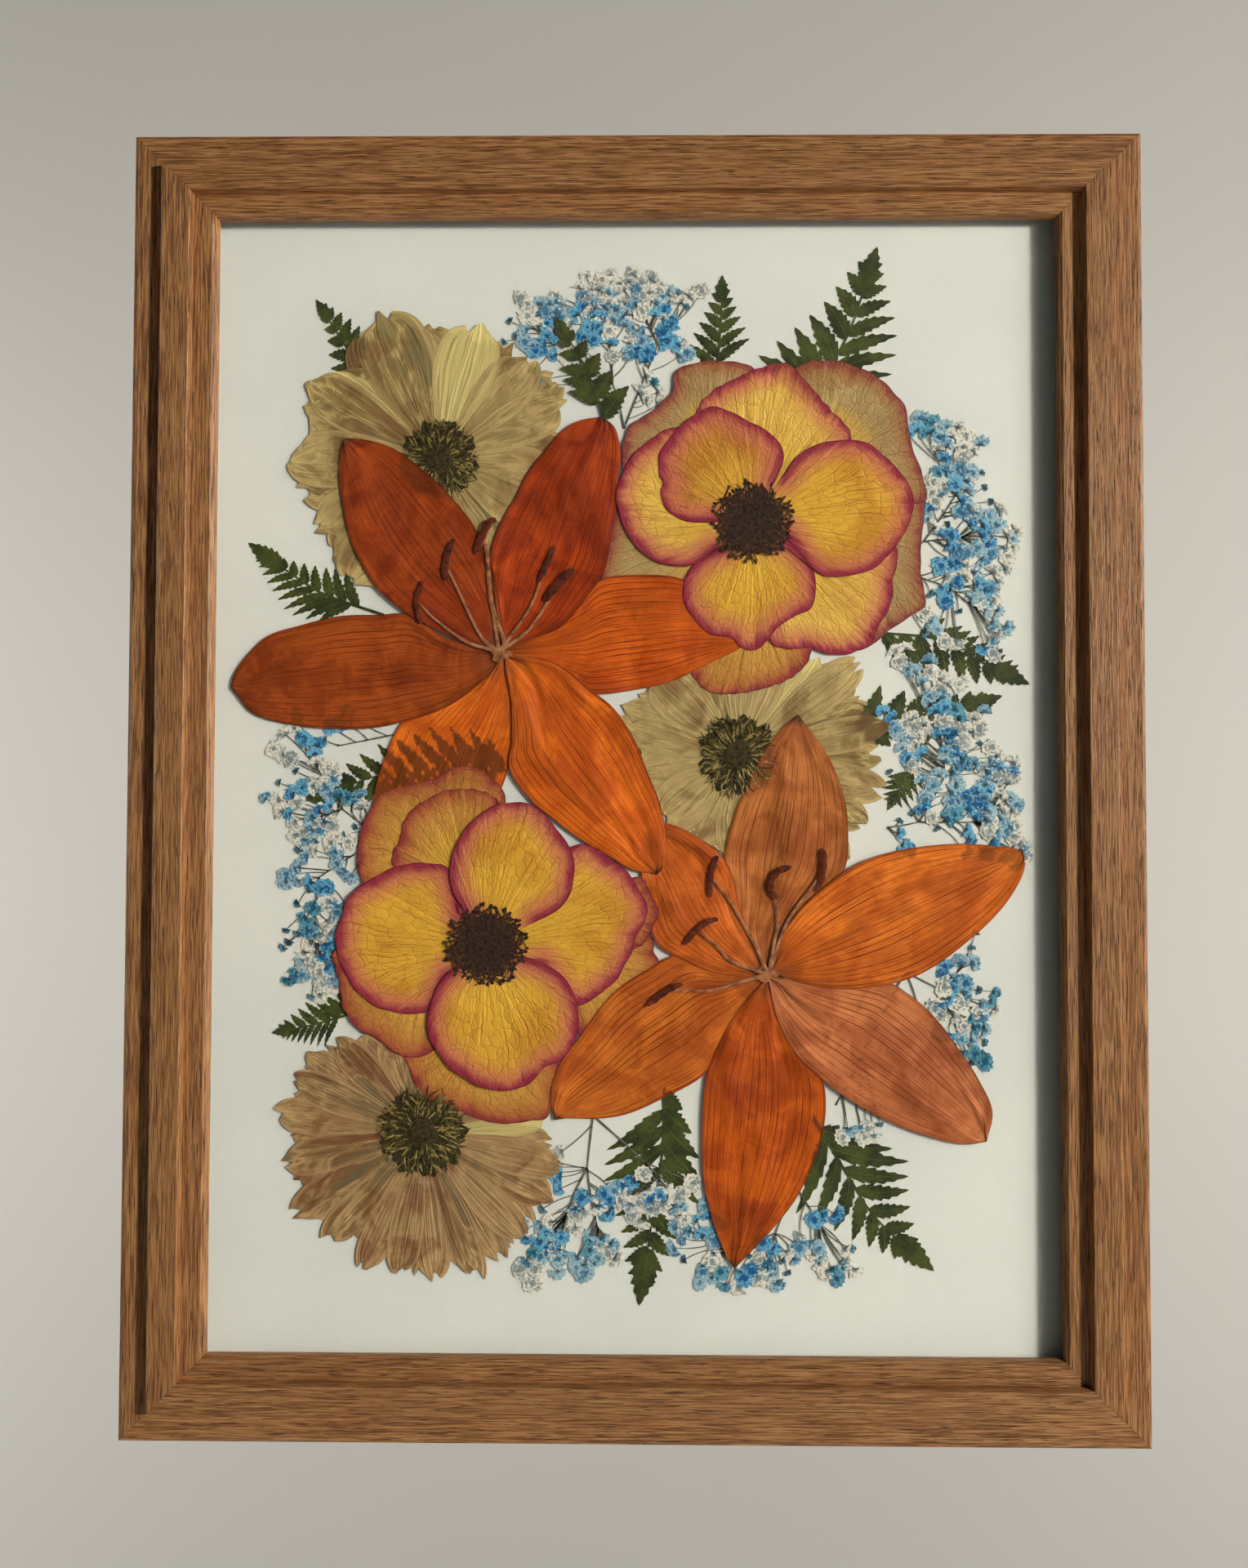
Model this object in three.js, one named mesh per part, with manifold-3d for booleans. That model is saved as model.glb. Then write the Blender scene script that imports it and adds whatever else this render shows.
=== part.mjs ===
// A wall-hung picture frame with pressed flowers. A stepped, mitred wooden moulding holds a
// glass pane, a white card and a back board, and two lilies, two roses, three daisies, fern
// fronds and small flower sprays lie pressed between the card and the glass.
//
// Millimetres. Inside the group x runs right, y up and z out from the wall, and the flowers'
// points are measured from the middle of the picture. The group is then turned so that the
// frame faces -Y with +Z up, and the origin is the middle of the top rail's back face.

import * as THREE from 'three';
import { mergeVertices } from 'three/addons/utils/BufferGeometryUtils.js';
import Module from 'manifold-3d';

const FRAME_W = 352;
const FRAME_H = 452.6;
const RABBET_INSET = 23.2; // from the outer edge in to the wall of the rabbet
const ORIGIN_INSET = 11.6; // half the width of a rail's back face
const MITRE_GAP = 0.05; // taken off each mitred end

const LIP_BACK = 12.9; // where the moulding's lip bears on the glass
const SEAT_GAP = 0.06; // between stacked sheets
const SHEET_CLEARANCE = 0.8; // between a sheet's edge and the rabbet
const GLASS_T = 1.6;
const FLOWER_ROOM = 1.94; // between the card and the glass
const CARD_T = 1.2;
const BOARD_T = 3;

const LAYER_PITCH = 0.19; // pressed pieces lie in layers, counted up from the card
const PETAL_T = 0.13;
const CORE_T = 0.32; // the dense middle of a daisy

const GLASS_Z = LIP_BACK - SEAT_GAP - GLASS_T;
const CARD_FRONT = GLASS_Z - FLOWER_ROOM;
const CARD_Z = CARD_FRONT - CARD_T;
const BOARD_Z = CARD_Z - SEAT_GAP - BOARD_T;
const layerZ = (layer) => CARD_FRONT + SEAT_GAP + layer * LAYER_PITCH;

// The moulding's section as [distance in from the outer edge, distance out from the wall]:
// a flat outer band, a raised middle band, a lower inner band and a rounded lip.
const MOULDING = [
  [0, 0], [RABBET_INSET, 0], [RABBET_INSET, LIP_BACK], [29.7, LIP_BACK], [29.6, 14.6],
  [29.1, 16], [28, 16.8], [21.5, 16.8], [20.9, 19.7], [20.5, 20.06], [11.1, 20.06],
  [10.7, 19.7], [10.6, 16.3], [1.6, 16.3], [0.5, 15.8], [0, 14.7],
];

const COLOURS = {
  wood: 0x9c6b42, glass: 0xeef3f2, card: 0xdcdcdc, board: 0x8a6a48, steel: 0xa8a9a6,
  lily: 0xb5541c, anther: 0x3b2118, rose: 0xd08a1f, roseHeart: 0x2a1a12, daisy: 0xd9b65a,
  fern: 0x2f3a26, spray: 0x7f9bb8,
};
const ROUGHNESS = { wood: 0.45, glass: 0.05, steel: 0.35 };

const materials = Object.fromEntries(Object.entries(COLOURS).map(([name, color]) => [
  name,
  new THREE.MeshStandardMaterial({
    name, color,
    roughness: ROUGHNESS[name] ?? 0.8,
    metalness: name === 'steel' ? 1 : 0,
    transparent: name === 'glass',
    opacity: name === 'glass' ? 0.2 : 1,
  }),
]));

const wasm = await Module();
wasm.setup();

const picture = new THREE.Group();

function place(name, geometry, material, z = 0) {
  const mesh = new THREE.Mesh(geometry, materials[material]);
  mesh.name = name;
  mesh.position.z = z;
  picture.add(mesh);
  return mesh;
}

function toSolid(geometry) {
  const bare = geometry.clone();
  bare.deleteAttribute('normal');
  bare.deleteAttribute('uv');
  const merged = mergeVertices(bare);
  return new wasm.Manifold(new wasm.Mesh({
    numProp: 3,
    vertProperties: new Float32Array(merged.attributes.position.array),
    triVerts: new Uint32Array(merged.index.array),
  }));
}

function join(geometries) {
  const [first, ...others] = geometries.map(toSolid);
  const mesh = others.reduce((whole, piece) => whole.add(piece), first).getMesh();
  const joined = new THREE.BufferGeometry();
  joined.setAttribute('position', new THREE.BufferAttribute(mesh.vertProperties, 3));
  joined.setIndex(new THREE.BufferAttribute(mesh.triVerts, 1));
  joined.computeVertexNormals();
  return joined;
}

function plate(outline, thickness = PETAL_T) {
  const shape = new THREE.Shape(outline.map(([x, y]) => new THREE.Vector2(x, y)));
  return new THREE.ExtrudeGeometry(shape, { depth: thickness, bevelEnabled: false });
}

function disc(x, y, radius, thickness, sides) {
  return new THREE.CylinderGeometry(radius, radius, thickness, sides)
    .rotateX(Math.PI / 2)
    .translate(x, y, thickness / 2);
}

// A strip of even width along a line of points.
function strip(points, width) {
  const line = points.map(([x, y]) => new THREE.Vector2(x, y));
  const sides = line.map((point, i) => {
    const ahead = line[Math.min(i + 1, line.length - 1)].clone();
    const side = ahead.sub(line[Math.max(i - 1, 0)]).normalize().multiplyScalar(width / 2);
    return [[point.x + side.y, point.y - side.x], [point.x - side.y, point.y + side.x]];
  });
  return [...sides.map(([right]) => right), ...sides.map(([, left]) => left).reverse()];
}

// Moulding: one rail per side, each a length of the section with both ends mitred.

function mitredRail(length) {
  const section = MOULDING.map(([inset, out]) => new THREE.Vector2(inset, out));
  const ends = [-1, 1].map((side) => section.map(({ x: inset, y: out }) => (
    new THREE.Vector3(side * (length / 2 - inset - MITRE_GAP), -inset, out)
  )));
  const corners = [];
  const caps = THREE.ShapeUtils.triangulateShape(section, []);
  for (const [a, b, c] of caps) {
    corners.push(ends[0][a], ends[0][b], ends[0][c], ends[1][a], ends[1][c], ends[1][b]);
  }
  section.forEach((_, i) => {
    const next = (i + 1) % section.length;
    corners.push(ends[0][i], ends[1][i], ends[1][next]);
    corners.push(ends[0][i], ends[1][next], ends[0][next]);
  });
  const rail = new THREE.BufferGeometry().setFromPoints(corners);
  rail.computeVertexNormals();
  return rail;
}

for (const [side, length, across, turn] of [
  ['top', FRAME_W, FRAME_H, 0], ['left', FRAME_H, FRAME_W, 1],
  ['bottom', FRAME_W, FRAME_H, 2], ['right', FRAME_H, FRAME_W, 3],
]) {
  const rail = place(`rail_${side}`, mitredRail(length), 'wood');
  rail.rotation.z = (turn * Math.PI) / 2;
  rail.position.set(0, across / 2, 0).applyEuler(rail.rotation);
}

// Sheets, from the glass back to the board.

const sheetW = FRAME_W - 2 * (RABBET_INSET + SHEET_CLEARANCE);
const sheetH = FRAME_H - 2 * (RABBET_INSET + SHEET_CLEARANCE);
for (const [name, z, thickness, material] of [
  ['glass_pane', GLASS_Z, GLASS_T, 'glass'],
  ['mount_card', CARD_Z, CARD_T, 'card'],
  ['back_board', BOARD_Z, BOARD_T, 'board'],
]) {
  place(name, new THREE.BoxGeometry(sheetW, sheetH, thickness), material, z + thickness / 2);
}

// Hanger: a toothed steel strip bowed off the back board on two riveted feet.

const HANGER_W = 46;
const HANGER_H = 9;
const HANGER_T = 0.8;
const HANGER_RISE = 1.4; // behind the board, so that a nail head goes under it
const HANGER_FOOT = 7;
const HANGER_TEETH = 9;
const HANGER_Y = 186;

function hanger() {
  const inner = HANGER_W / 2 - HANGER_FOOT;
  const pitch = (2 * inner) / HANGER_TEETH;
  const teeth = Array.from({ length: HANGER_TEETH }, (_, i) => [
    [-inner + (i + 0.5) * pitch, pitch / 2], [-inner + (i + 1) * pitch, 0],
  ]).flat();
  const edge = [[-HANGER_W / 2, 0], [-inner, 0], ...teeth, [HANGER_W / 2, 0]];
  const blade = plate([...edge, [HANGER_W / 2, HANGER_H], [-HANGER_W / 2, HANGER_H]], HANGER_T);
  const feet = [-1, 1].map((side) => (
    new THREE.BoxGeometry(HANGER_FOOT, HANGER_H, HANGER_RISE + HANGER_T)
      .translate(side * (inner + HANGER_FOOT / 2), HANGER_H / 2, (HANGER_RISE + HANGER_T) / 2)
  ));
  return join([blade, ...feet]).translate(0, HANGER_Y, 0);
}
place('hanger', hanger(), 'steel', BOARD_Z - SEAT_GAP - HANGER_RISE - HANGER_T);

// Lilies: each tepal is bounded by two edges that run from the flower's heart to its tip.

const LILY_A = {
  upper_left: { layer: 6, edges: [
    [[-49, 46], [-60, 50], [-68.5, 54], [-79, 58.5], [-87.6, 64.4], [-93, 71], [-97.5, 79],
      [-101, 88], [-103.5, 101.7], [-104, 110], [-103.3, 117]],
    [[-47, 48], [-48.5, 58], [-50.3, 71], [-52.5, 81], [-56, 88.5], [-61.5, 96], [-69.7, 104.8],
      [-78, 111.8], [-85.7, 117], [-95, 119.8]],
  ], tip: [-102.6, 120.2] },
  upper: { layer: 5, edges: [
    [[-46.5, 48], [-49.9, 69], [-50, 83], [-45.4, 94], [-42, 99.7], [-38, 108], [-32, 115.7],
      [-26, 122.8], [-20, 126.5]],
    [[-44, 48], [-29.5, 53.6], [-20.6, 61], [-11.6, 71.8], [-8.8, 82.5], [-6.8, 95],
      [-6, 104.8], [-5, 112], [-5.6, 119], [-7.5, 124.5]],
  ], tip: [-12, 128] },
  right: { layer: 4, edges: [
    [[-43, 46.5], [-29.5, 52.6], [-18.6, 63], [-11.6, 70.5], [2.4, 72.2], [16.4, 70.8],
      [27, 64.5], [36, 57]],
    [[-43, 44], [-29.5, 40.8], [-21.8, 35], [-14, 30.5], [-1.4, 31.6], [12.6, 34.7],
      [26.6, 41.4], [36, 46]],
  ], tip: [41, 50] },
  lower_right: { layer: 6, edges: [
    [[-44.5, 42], [-41.6, 27.4], [-41.9, 14.7], [-43.6, 4], [-36.5, -6.4], [-29.9, -12],
      [-19.7, -19.8], [-9.5, -25.8], [-1, -30.8]],
    [[-42.5, 42.5], [-29.5, 40], [-16.7, 31.6], [-7.8, 25.8], [-0.2, 14.7], [5, 1.9],
      [9, -8.3], [11.4, -21], [10.6, -29]],
  ], tip: [8, -32.6] },
  bottom: { layer: 3, edges: [
    [[-49, 40], [-57, 33], [-65, 28.7], [-76, 22], [-82.2, 19.1], [-87.6, 7], [-90.8, -4.5],
      [-90.6, -18], [-86, -32]],
    [[-45, 40], [-42.5, 28], [-42.6, 12], [-45.4, -0.3], [-51, -12], [-58, -25], [-65, -37]],
  ], tip: [-74, -46] },
  left: { layer: 4, edges: [
    [[-49.5, 45], [-60, 46.5], [-68.5, 49.7], [-80, 57.6], [-90.8, 58], [-104, 57.5],
      [-117.6, 54.2], [-128.4, 50.7], [-135.4, 44.3], [-140.2, 37.6]],
    [[-49.5, 40.5], [-62, 30], [-76, 22.3], [-90, 18.5], [-106.7, 18], [-120, 19.4],
      [-133, 23], [-139.6, 30]],
  ], tip: [-141.5, 32.5] },
};

const LILY_B = {
  top: { layer: 4, edges: [
    [[43, -64], [37.5, -52], [33.8, -38], [31.3, -25.5], [35, -10.8], [40, -0.6], [45, 10],
      [51.5, 18.5]],
    [[48, -63], [53, -50], [64, -40], [73, -30.6], [74.1, -14], [72, -2.6], [68, 7.6],
      [61.7, 17]],
  ], tip: [56.9, 23.3] },
  right: { layer: 7, edges: [
    [[49.5, -63], [53, -53.6], [62.8, -40.8], [73, -31.3], [83.8, -26], [97.8, -22.8],
      [113.8, -21.5], [126.5, -22.5]],
    [[50.5, -66.5], [62, -69.3], [75.5, -70.5], [90.8, -69.5], [104, -63.8], [119.5, -51.7],
      [129, -41.5], [134.8, -31]],
  ], tip: [134.5, -23.6] },
  lower_right: { layer: 6, edges: [
    [[50, -69], [62.8, -69.8], [85.7, -69.4], [94.6, -73.3], [104, -81.6], [112.6, -93],
      [119, -103], [123.6, -113.7]],
    [[48.6, -72], [51, -81], [57.8, -94.6], [66, -103.8], [76.9, -111.5], [89.6, -118],
      [102.4, -122.6], [114, -125]],
  ], tip: [121.5, -124] },
  bottom: { layer: 5, edges: [
    [[44, -72], [35.8, -83], [28.8, -95], [24.8, -104], [23.7, -120], [24.2, -138],
      [27.7, -152.6], [31.5, -162.5]],
    [[47, -72.5], [53.3, -85], [62, -97.5], [66.2, -108.6], [64.6, -124], [57.7, -141],
      [49.4, -152.6], [40, -162.7]],
  ], tip: [34.7, -167.9] },
  lower_left: { layer: 4, edges: [
    [[41.5, -69], [28.8, -65.5], [15.4, -61.2], [3.3, -66.3], [-8.2, -74.6], [-19, -89],
      [-26.5, -99.7], [-28.8, -109]],
    [[42, -71], [35, -84.8], [25, -101], [9.8, -110], [-2.3, -115.3], [-12.5, -116.9],
      [-22, -116.8]],
  ], tip: [-27.5, -117.5] },
  upper_left: { layer: 5, edges: [
    [[43, -64.5], [37, -48.5], [34.5, -34], [29.4, -24.9], [19.2, -17.9], [10.9, -14.9]],
    [[41, -66.6], [28.8, -65], [16, -61.5], [8, -56.5], [4.5, -46], [2.5, -32]],
  ], tip: [3, -18] },
};

// Stamens lie on the tepals in the top layer: bent filaments with a broad anther on each.

const STAMEN_LAYER = 8;
const STAMEN_T = 0.15;
const FILAMENT_W = 0.8;
const HEART_R = 4.2;

const STAMENS_A = { heart: [-47.5, 45], stamens: [
  { anther: [[-74.5, 69.8], [-76.4, 62.5], [-74.8, 54.8]], width: 2.2,
    filament: [[-75.2, 61.5], [-69.4, 56], [-59, 48.5], [-47.5, 45]] },
  { anther: [[-63.4, 84.5], [-65.6, 79.7], [-66.6, 73.3], [-65.9, 69.8]], width: 2.6,
    filament: [[-66, 75], [-61.5, 65.7], [-53.8, 50.4], [-47.5, 45]] },
  { anther: [[-48.7, 91.5], [-51.9, 89.5], [-56, 79.3]], width: 3,
    filament: [[-53, 86], [-51.2, 72], [-50.2, 62.5], [-47.5, 45]] },
  { anther: [[-28.2, 82.3], [-30.4, 76.5], [-33.6, 69.8]], width: 2.4,
    filament: [[-32, 73], [-35.5, 63], [-39, 56.7], [-47.5, 45]] },
  { anther: [[-21.2, 74], [-25, 70.8], [-29.5, 65.7], [-31.4, 62.8]], width: 3.4,
    filament: [[-27, 68.2], [-34.6, 56], [-39, 51], [-47.5, 45]] },
] };

const STAMENS_B = { heart: [46.5, -67], stamens: [
  { anther: [[28.8, -26], [26.9, -31.3], [26.2, -36.4], [26.5, -40.2]], width: 2.2,
    filament: [[26.6, -33.4], [32.6, -40.8], [40.9, -54.8], [46.5, -67]] },
  { anther: [[54.3, -29.7], [49.8, -31.3], [47.3, -35], [47.9, -39], [49.8, -40.5]], width: 2.6,
    filament: [[48.4, -39.6], [49.8, -48.5], [48.5, -56], [46.5, -67]] },
  { anther: [[65.3, -23.3], [65.6, -27.4], [65, -32.5], [63.4, -37.9]], width: 2.6,
    filament: [[64.9, -32.5], [60.8, -37.6], [52.6, -49.7], [46.5, -67]] },
  { anther: [[29, -47.8], [25, -49], [21, -52.3], [17.3, -56.8]], width: 2.2,
    filament: [[21.7, -51.8], [28.8, -57.4], [33.9, -62.5], [46.5, -67]] },
  { anther: [[16.7, -70.2], [12.2, -72], [7.7, -75.3], [4.5, -77.8]], width: 2.4,
    filament: [[12.5, -72.3], [25.6, -72.7], [37, -69.5], [46.5, -67]] },
] };

function stamenCluster({ heart, stamens }) {
  const filaments = stamens.map(({ filament }) => plate(strip(filament, FILAMENT_W), STAMEN_T));
  const anthers = stamens.map(({ anther, width }) => plate(strip(anther, width), STAMEN_T));
  return join([disc(...heart, HEART_R, STAMEN_T, 8), ...filaments, ...anthers]);
}

for (const [lily, tepals] of [['lily_a', LILY_A], ['lily_b', LILY_B]]) {
  for (const [side, { layer, edges: [one, other], tip }] of Object.entries(tepals)) {
    const outline = [...one, tip, ...other.toReversed()];
    place(`${lily}_tepal_${side}`, plate(outline), 'lily', layerZ(layer));
  }
}
place('lily_a_stamens', stamenCluster(STAMENS_A), 'anther', layerZ(STAMEN_LAYER));
place('lily_b_stamens', stamenCluster(STAMENS_B), 'anther', layerZ(STAMEN_LAYER));

// Roses: each petal is a fan from its foot, near the heart, out to its rim.

const ROSE_A = {
  petal_top_left: { layer: 7, outline: [
    [36, 98], [27, 90.5], [18, 90.8], [11.5, 94.5], [8.5, 101], [10, 104.3], [8, 108],
      [8.8, 115.7], [15, 124], [22, 129.5], [29, 131.4], [36.8, 127.8], [43.4, 124.5],
      [50, 119.4], [52, 113], [49, 105],
  ] },
  petal_right: { layer: 6, outline: [
    [52, 97], [51.8, 107], [56.7, 114], [65.2, 118.7], [74.3, 119.6], [82.7, 118], [90, 111],
      [96, 104], [97.3, 98], [95.5, 89], [91, 82], [84, 74.6], [77, 72.2], [70, 71.3],
      [63.6, 72.8], [57.5, 80], [52, 86],
  ] },
  petal_bottom: { layer: 5, outline: [
    [42, 86], [30, 81], [22, 77.3], [17.5, 71], [17, 63], [20.6, 56.8], [26, 51.3], [33.5, 50.2],
      [36.8, 46.5], [42.6, 45.8], [49.6, 53], [56.6, 58], [61.7, 60.6], [63.3, 68.2],
      [61, 76.5], [52, 85],
  ] },
  petal_left: { layer: 6, outline: [
    [30, 94], [28, 81], [20.3, 75.5], [12, 75.5], [5.6, 77.4], [-2, 85], [-6.2, 95.3],
      [-6.5, 101.7], [-2.7, 112], [6.2, 120.8], [15.2, 124.3], [23, 119],
  ] },
  petal_top: { layer: 5, outline: [
    [48, 108], [22, 122], [21.5, 130.4], [27.3, 137.4], [35, 141.5], [44, 145.4],
      [53.2, 146.8], [60.3, 140], [68, 131], [75, 123.3], [75.7, 117],
  ] },
  petal_low_right: { layer: 4, outline: [
    [56, 80], [88, 86], [92, 80.3], [90.4, 71.4], [89.4, 61.5], [86, 56], [84, 51],
      [80.8, 46.5], [70, 43.9], [61, 46.2], [49.6, 46.5], [45, 52],
  ] },
  petal_bottom_back: { layer: 3, outline: [
    [42, 66], [16, 46], [19.6, 37.6], [25.4, 31.2], [34.3, 30.3], [45, 32.2], [54.7, 36],
      [61, 42.7], [62, 52],
  ] },
  petal_top_right_back: { layer: 4, outline: [
    [62, 108], [50, 141], [59.6, 147], [70, 147.8], [79.2, 145], [86.2, 141.2], [90.4, 136.6],
      [94.5, 131.7], [96.7, 118.4], [100.2, 108.5], [101.6, 98.7], [94, 96],
  ] },
  petal_top_left_back: { layer: 4, outline: [
    [25, 112], [-3, 104], [-4.8, 113], [-2.7, 124], [4.3, 129], [12.6, 136.7], [13.9, 143.8],
      [21.5, 147.3], [34.3, 147.6], [42, 144.6], [43, 138],
  ] },
};

const ROSE_B = {
  petal_top: { layer: 8, outline: [
    [-47, -48], [-59, -45], [-63, -39], [-64.3, -30.6], [-61.4, -21], [-56.7, -14.3],
      [-49, -8.9], [-39.4, -7.3], [-32.5, -10.5], [-26.7, -16.9], [-21.6, -25], [-21, -35.7],
      [-25.4, -44], [-33, -48.5],
  ] },
  petal_bottom: { layer: 8, outline: [
    [-50, -66], [-63, -65], [-68, -71], [-71.2, -80], [-71.5, -87], [-68, -94.5], [-62, -101],
      [-54, -105.7], [-45, -107.6], [-37, -105.5], [-30.5, -99.5], [-25, -96.5], [-20.8, -91.5],
      [-19, -84], [-20, -75.5], [-24.5, -68], [-31, -63.3], [-38, -61],
  ] },
  petal_left: { layer: 6, outline: [
    [-62, -56], [-61, -46], [-64.3, -31.3], [-71.3, -28.7], [-80.3, -29.3], [-89.8, -33.2],
      [-98.7, -39.5], [-101.6, -46.6], [-103.9, -54.2], [-102.3, -63], [-97.5, -72],
      [-89.8, -78.4], [-80.3, -81], [-70.7, -79.6], [-65, -67.6],
  ] },
  petal_right: { layer: 7, outline: [
    [-41, -55], [-24, -24], [-17, -21.8], [-9, -26.3], [-1.5, -32.5], [1.8, -38], [5, -45],
      [1.5, -53], [-1, -60], [-6, -69], [-12.5, -74.5], [-19, -78], [-25, -74], [-32, -64],
  ] },
  petal_upper_left: { layer: 5, outline: [
    [-58, -38], [-80, -36], [-84, -30], [-84.3, -25], [-81.7, -20.5], [-80.5, -14],
      [-75.5, -8.5], [-68, -4.2], [-62, -2.8], [-54, -3.4], [-47.5, -7], [-44, -18],
  ] },
  petal_upper_left_back: { layer: 4, outline: [
    [-66, -28], [-90, -38], [-94.5, -36.5], [-96.5, -29], [-95.8, -19], [-92.5, -10.5],
      [-88, -4.3], [-80, -1.6], [-70, 0.8], [-60, 5.6], [-53, 3], [-46, -3], [-44, -14],
  ] },
  petal_lower_left_back: { layer: 4, outline: [
    [-74, -64], [-98, -56], [-105, -60], [-103, -68], [-101, -79], [-96.5, -86], [-89, -90],
      [-82.5, -95], [-77, -96.3], [-70.5, -94.7], [-66, -90], [-62, -78],
  ] },
  petal_bottom_back: { layer: 3, outline: [
    [-54, -86], [-84, -90], [-79.5, -97], [-76, -105], [-73, -109.5], [-64, -113], [-55, -117],
      [-46, -119], [-38, -118.3], [-30, -116.5], [-26, -108], [-26, -98], [-34, -88],
  ] },
  petal_right_back: { layer: 6, outline: [
    [-14, -46], [-2, -33.8], [3, -33.6], [6.2, -40], [8.7, -45.5], [6.5, -51], [3, -57],
      [-5, -60],
  ] },
};

const ROSE_HEARTS = {
  rose_a: { layer: 8, middle: [41, 91], radius: 14.6 },
  rose_b: { layer: 9, middle: [-51.5, -57.4], radius: 14 },
};
const HEART_POINTS = 14;
const HEART_NOTCH = 0.84;

function raggedDisc([x, y], radius) {
  return Array.from({ length: 2 * HEART_POINTS }, (_, i) => {
    const angle = (i * Math.PI) / HEART_POINTS;
    const reach = i % 2 ? radius * HEART_NOTCH : radius;
    return [x + reach * Math.cos(angle), y + reach * Math.sin(angle)];
  });
}

for (const [rose, petals] of [['rose_a', ROSE_A], ['rose_b', ROSE_B]]) {
  for (const [petal, { layer, outline }] of Object.entries(petals)) {
    place(`${rose}_${petal}`, plate(outline), 'rose', layerZ(layer));
  }
  const { layer, middle, radius } = ROSE_HEARTS[rose];
  place(`${rose}_heart`, plate(raggedDisc(middle, radius)), 'roseHeart', layerZ(layer));
}

// Daisies: rays given as [angle from +x in degrees, length, greatest width].

const DAISY_LAYER = 2;
const RAY_FOOT = 3;
const DAISIES = {
  daisy_a: { middle: [-69, 113], core: 8, rays: [
    [10, 44, 9], [24.6, 50, 10], [33.7, 51, 10], [46, 49, 11], [60, 49, 12], [75, 51, 13],
    [98, 50, 14], [112, 58, 15], [142, 49, 11], [151, 56, 10], [161, 52, 12], [179, 54, 12],
    [195, 52, 11], [210, 51, 10], [223, 53, 10], [236, 55, 13], [256, 50, 16], [282, 48, 16],
    [310, 46, 17], [342, 44, 17],
  ] },
  daisy_b: { middle: [36, 9], core: 8, rays: [
    [0, 50, 11], [11, 54, 10], [21, 50, 10], [37, 55, 11], [52, 45, 12], [76, 39, 16],
    [105, 38, 16], [134, 42, 15], [156, 45, 11], [167, 41, 10], [190, 36, 14], [218, 36, 15],
    [246, 36, 15], [276, 37, 16], [303, 46, 13], [318, 53, 11], [331, 51, 11], [345, 53, 11],
  ] },
  daisy_c: { middle: [-73, -122], core: 8, rays: [
    [6, 46, 10], [345, 50, 12], [332, 52, 12], [313, 51, 11], [301, 53, 11], [291, 55, 10],
    [275, 52, 12], [261, 51, 11], [248, 52, 11], [229, 52, 11], [211, 54, 12], [191, 51, 12],
    [172, 54, 12], [159, 50, 11], [147, 49, 11], [133, 45, 11], [108, 40, 15], [79, 38, 16],
    [50, 40, 16], [26, 44, 12],
  ] },
};

function ray([x, y], [degrees, length, width]) {
  const angle = THREE.MathUtils.degToRad(degrees);
  const at = (along, aside) => [
    x + along * Math.cos(angle) - aside * Math.sin(angle),
    y + along * Math.sin(angle) + aside * Math.cos(angle),
  ];
  return plate([
    at(RAY_FOOT, -width / 8), at(0.68 * length, -width / 2), at(length, -width / 5),
    at(length, width / 5), at(0.68 * length, width / 2), at(RAY_FOOT, width / 8),
  ]);
}

for (const [name, { middle, core, rays }] of Object.entries(DAISIES)) {
  const parts = [disc(...middle, core, CORE_T, 12), ...rays.map((given) => ray(middle, given))];
  place(name, join(parts), 'daisy', layerZ(DAISY_LAYER));
}

// Fern fronds: a midrib with leaflets, each leaning forward to its own tip.

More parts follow.
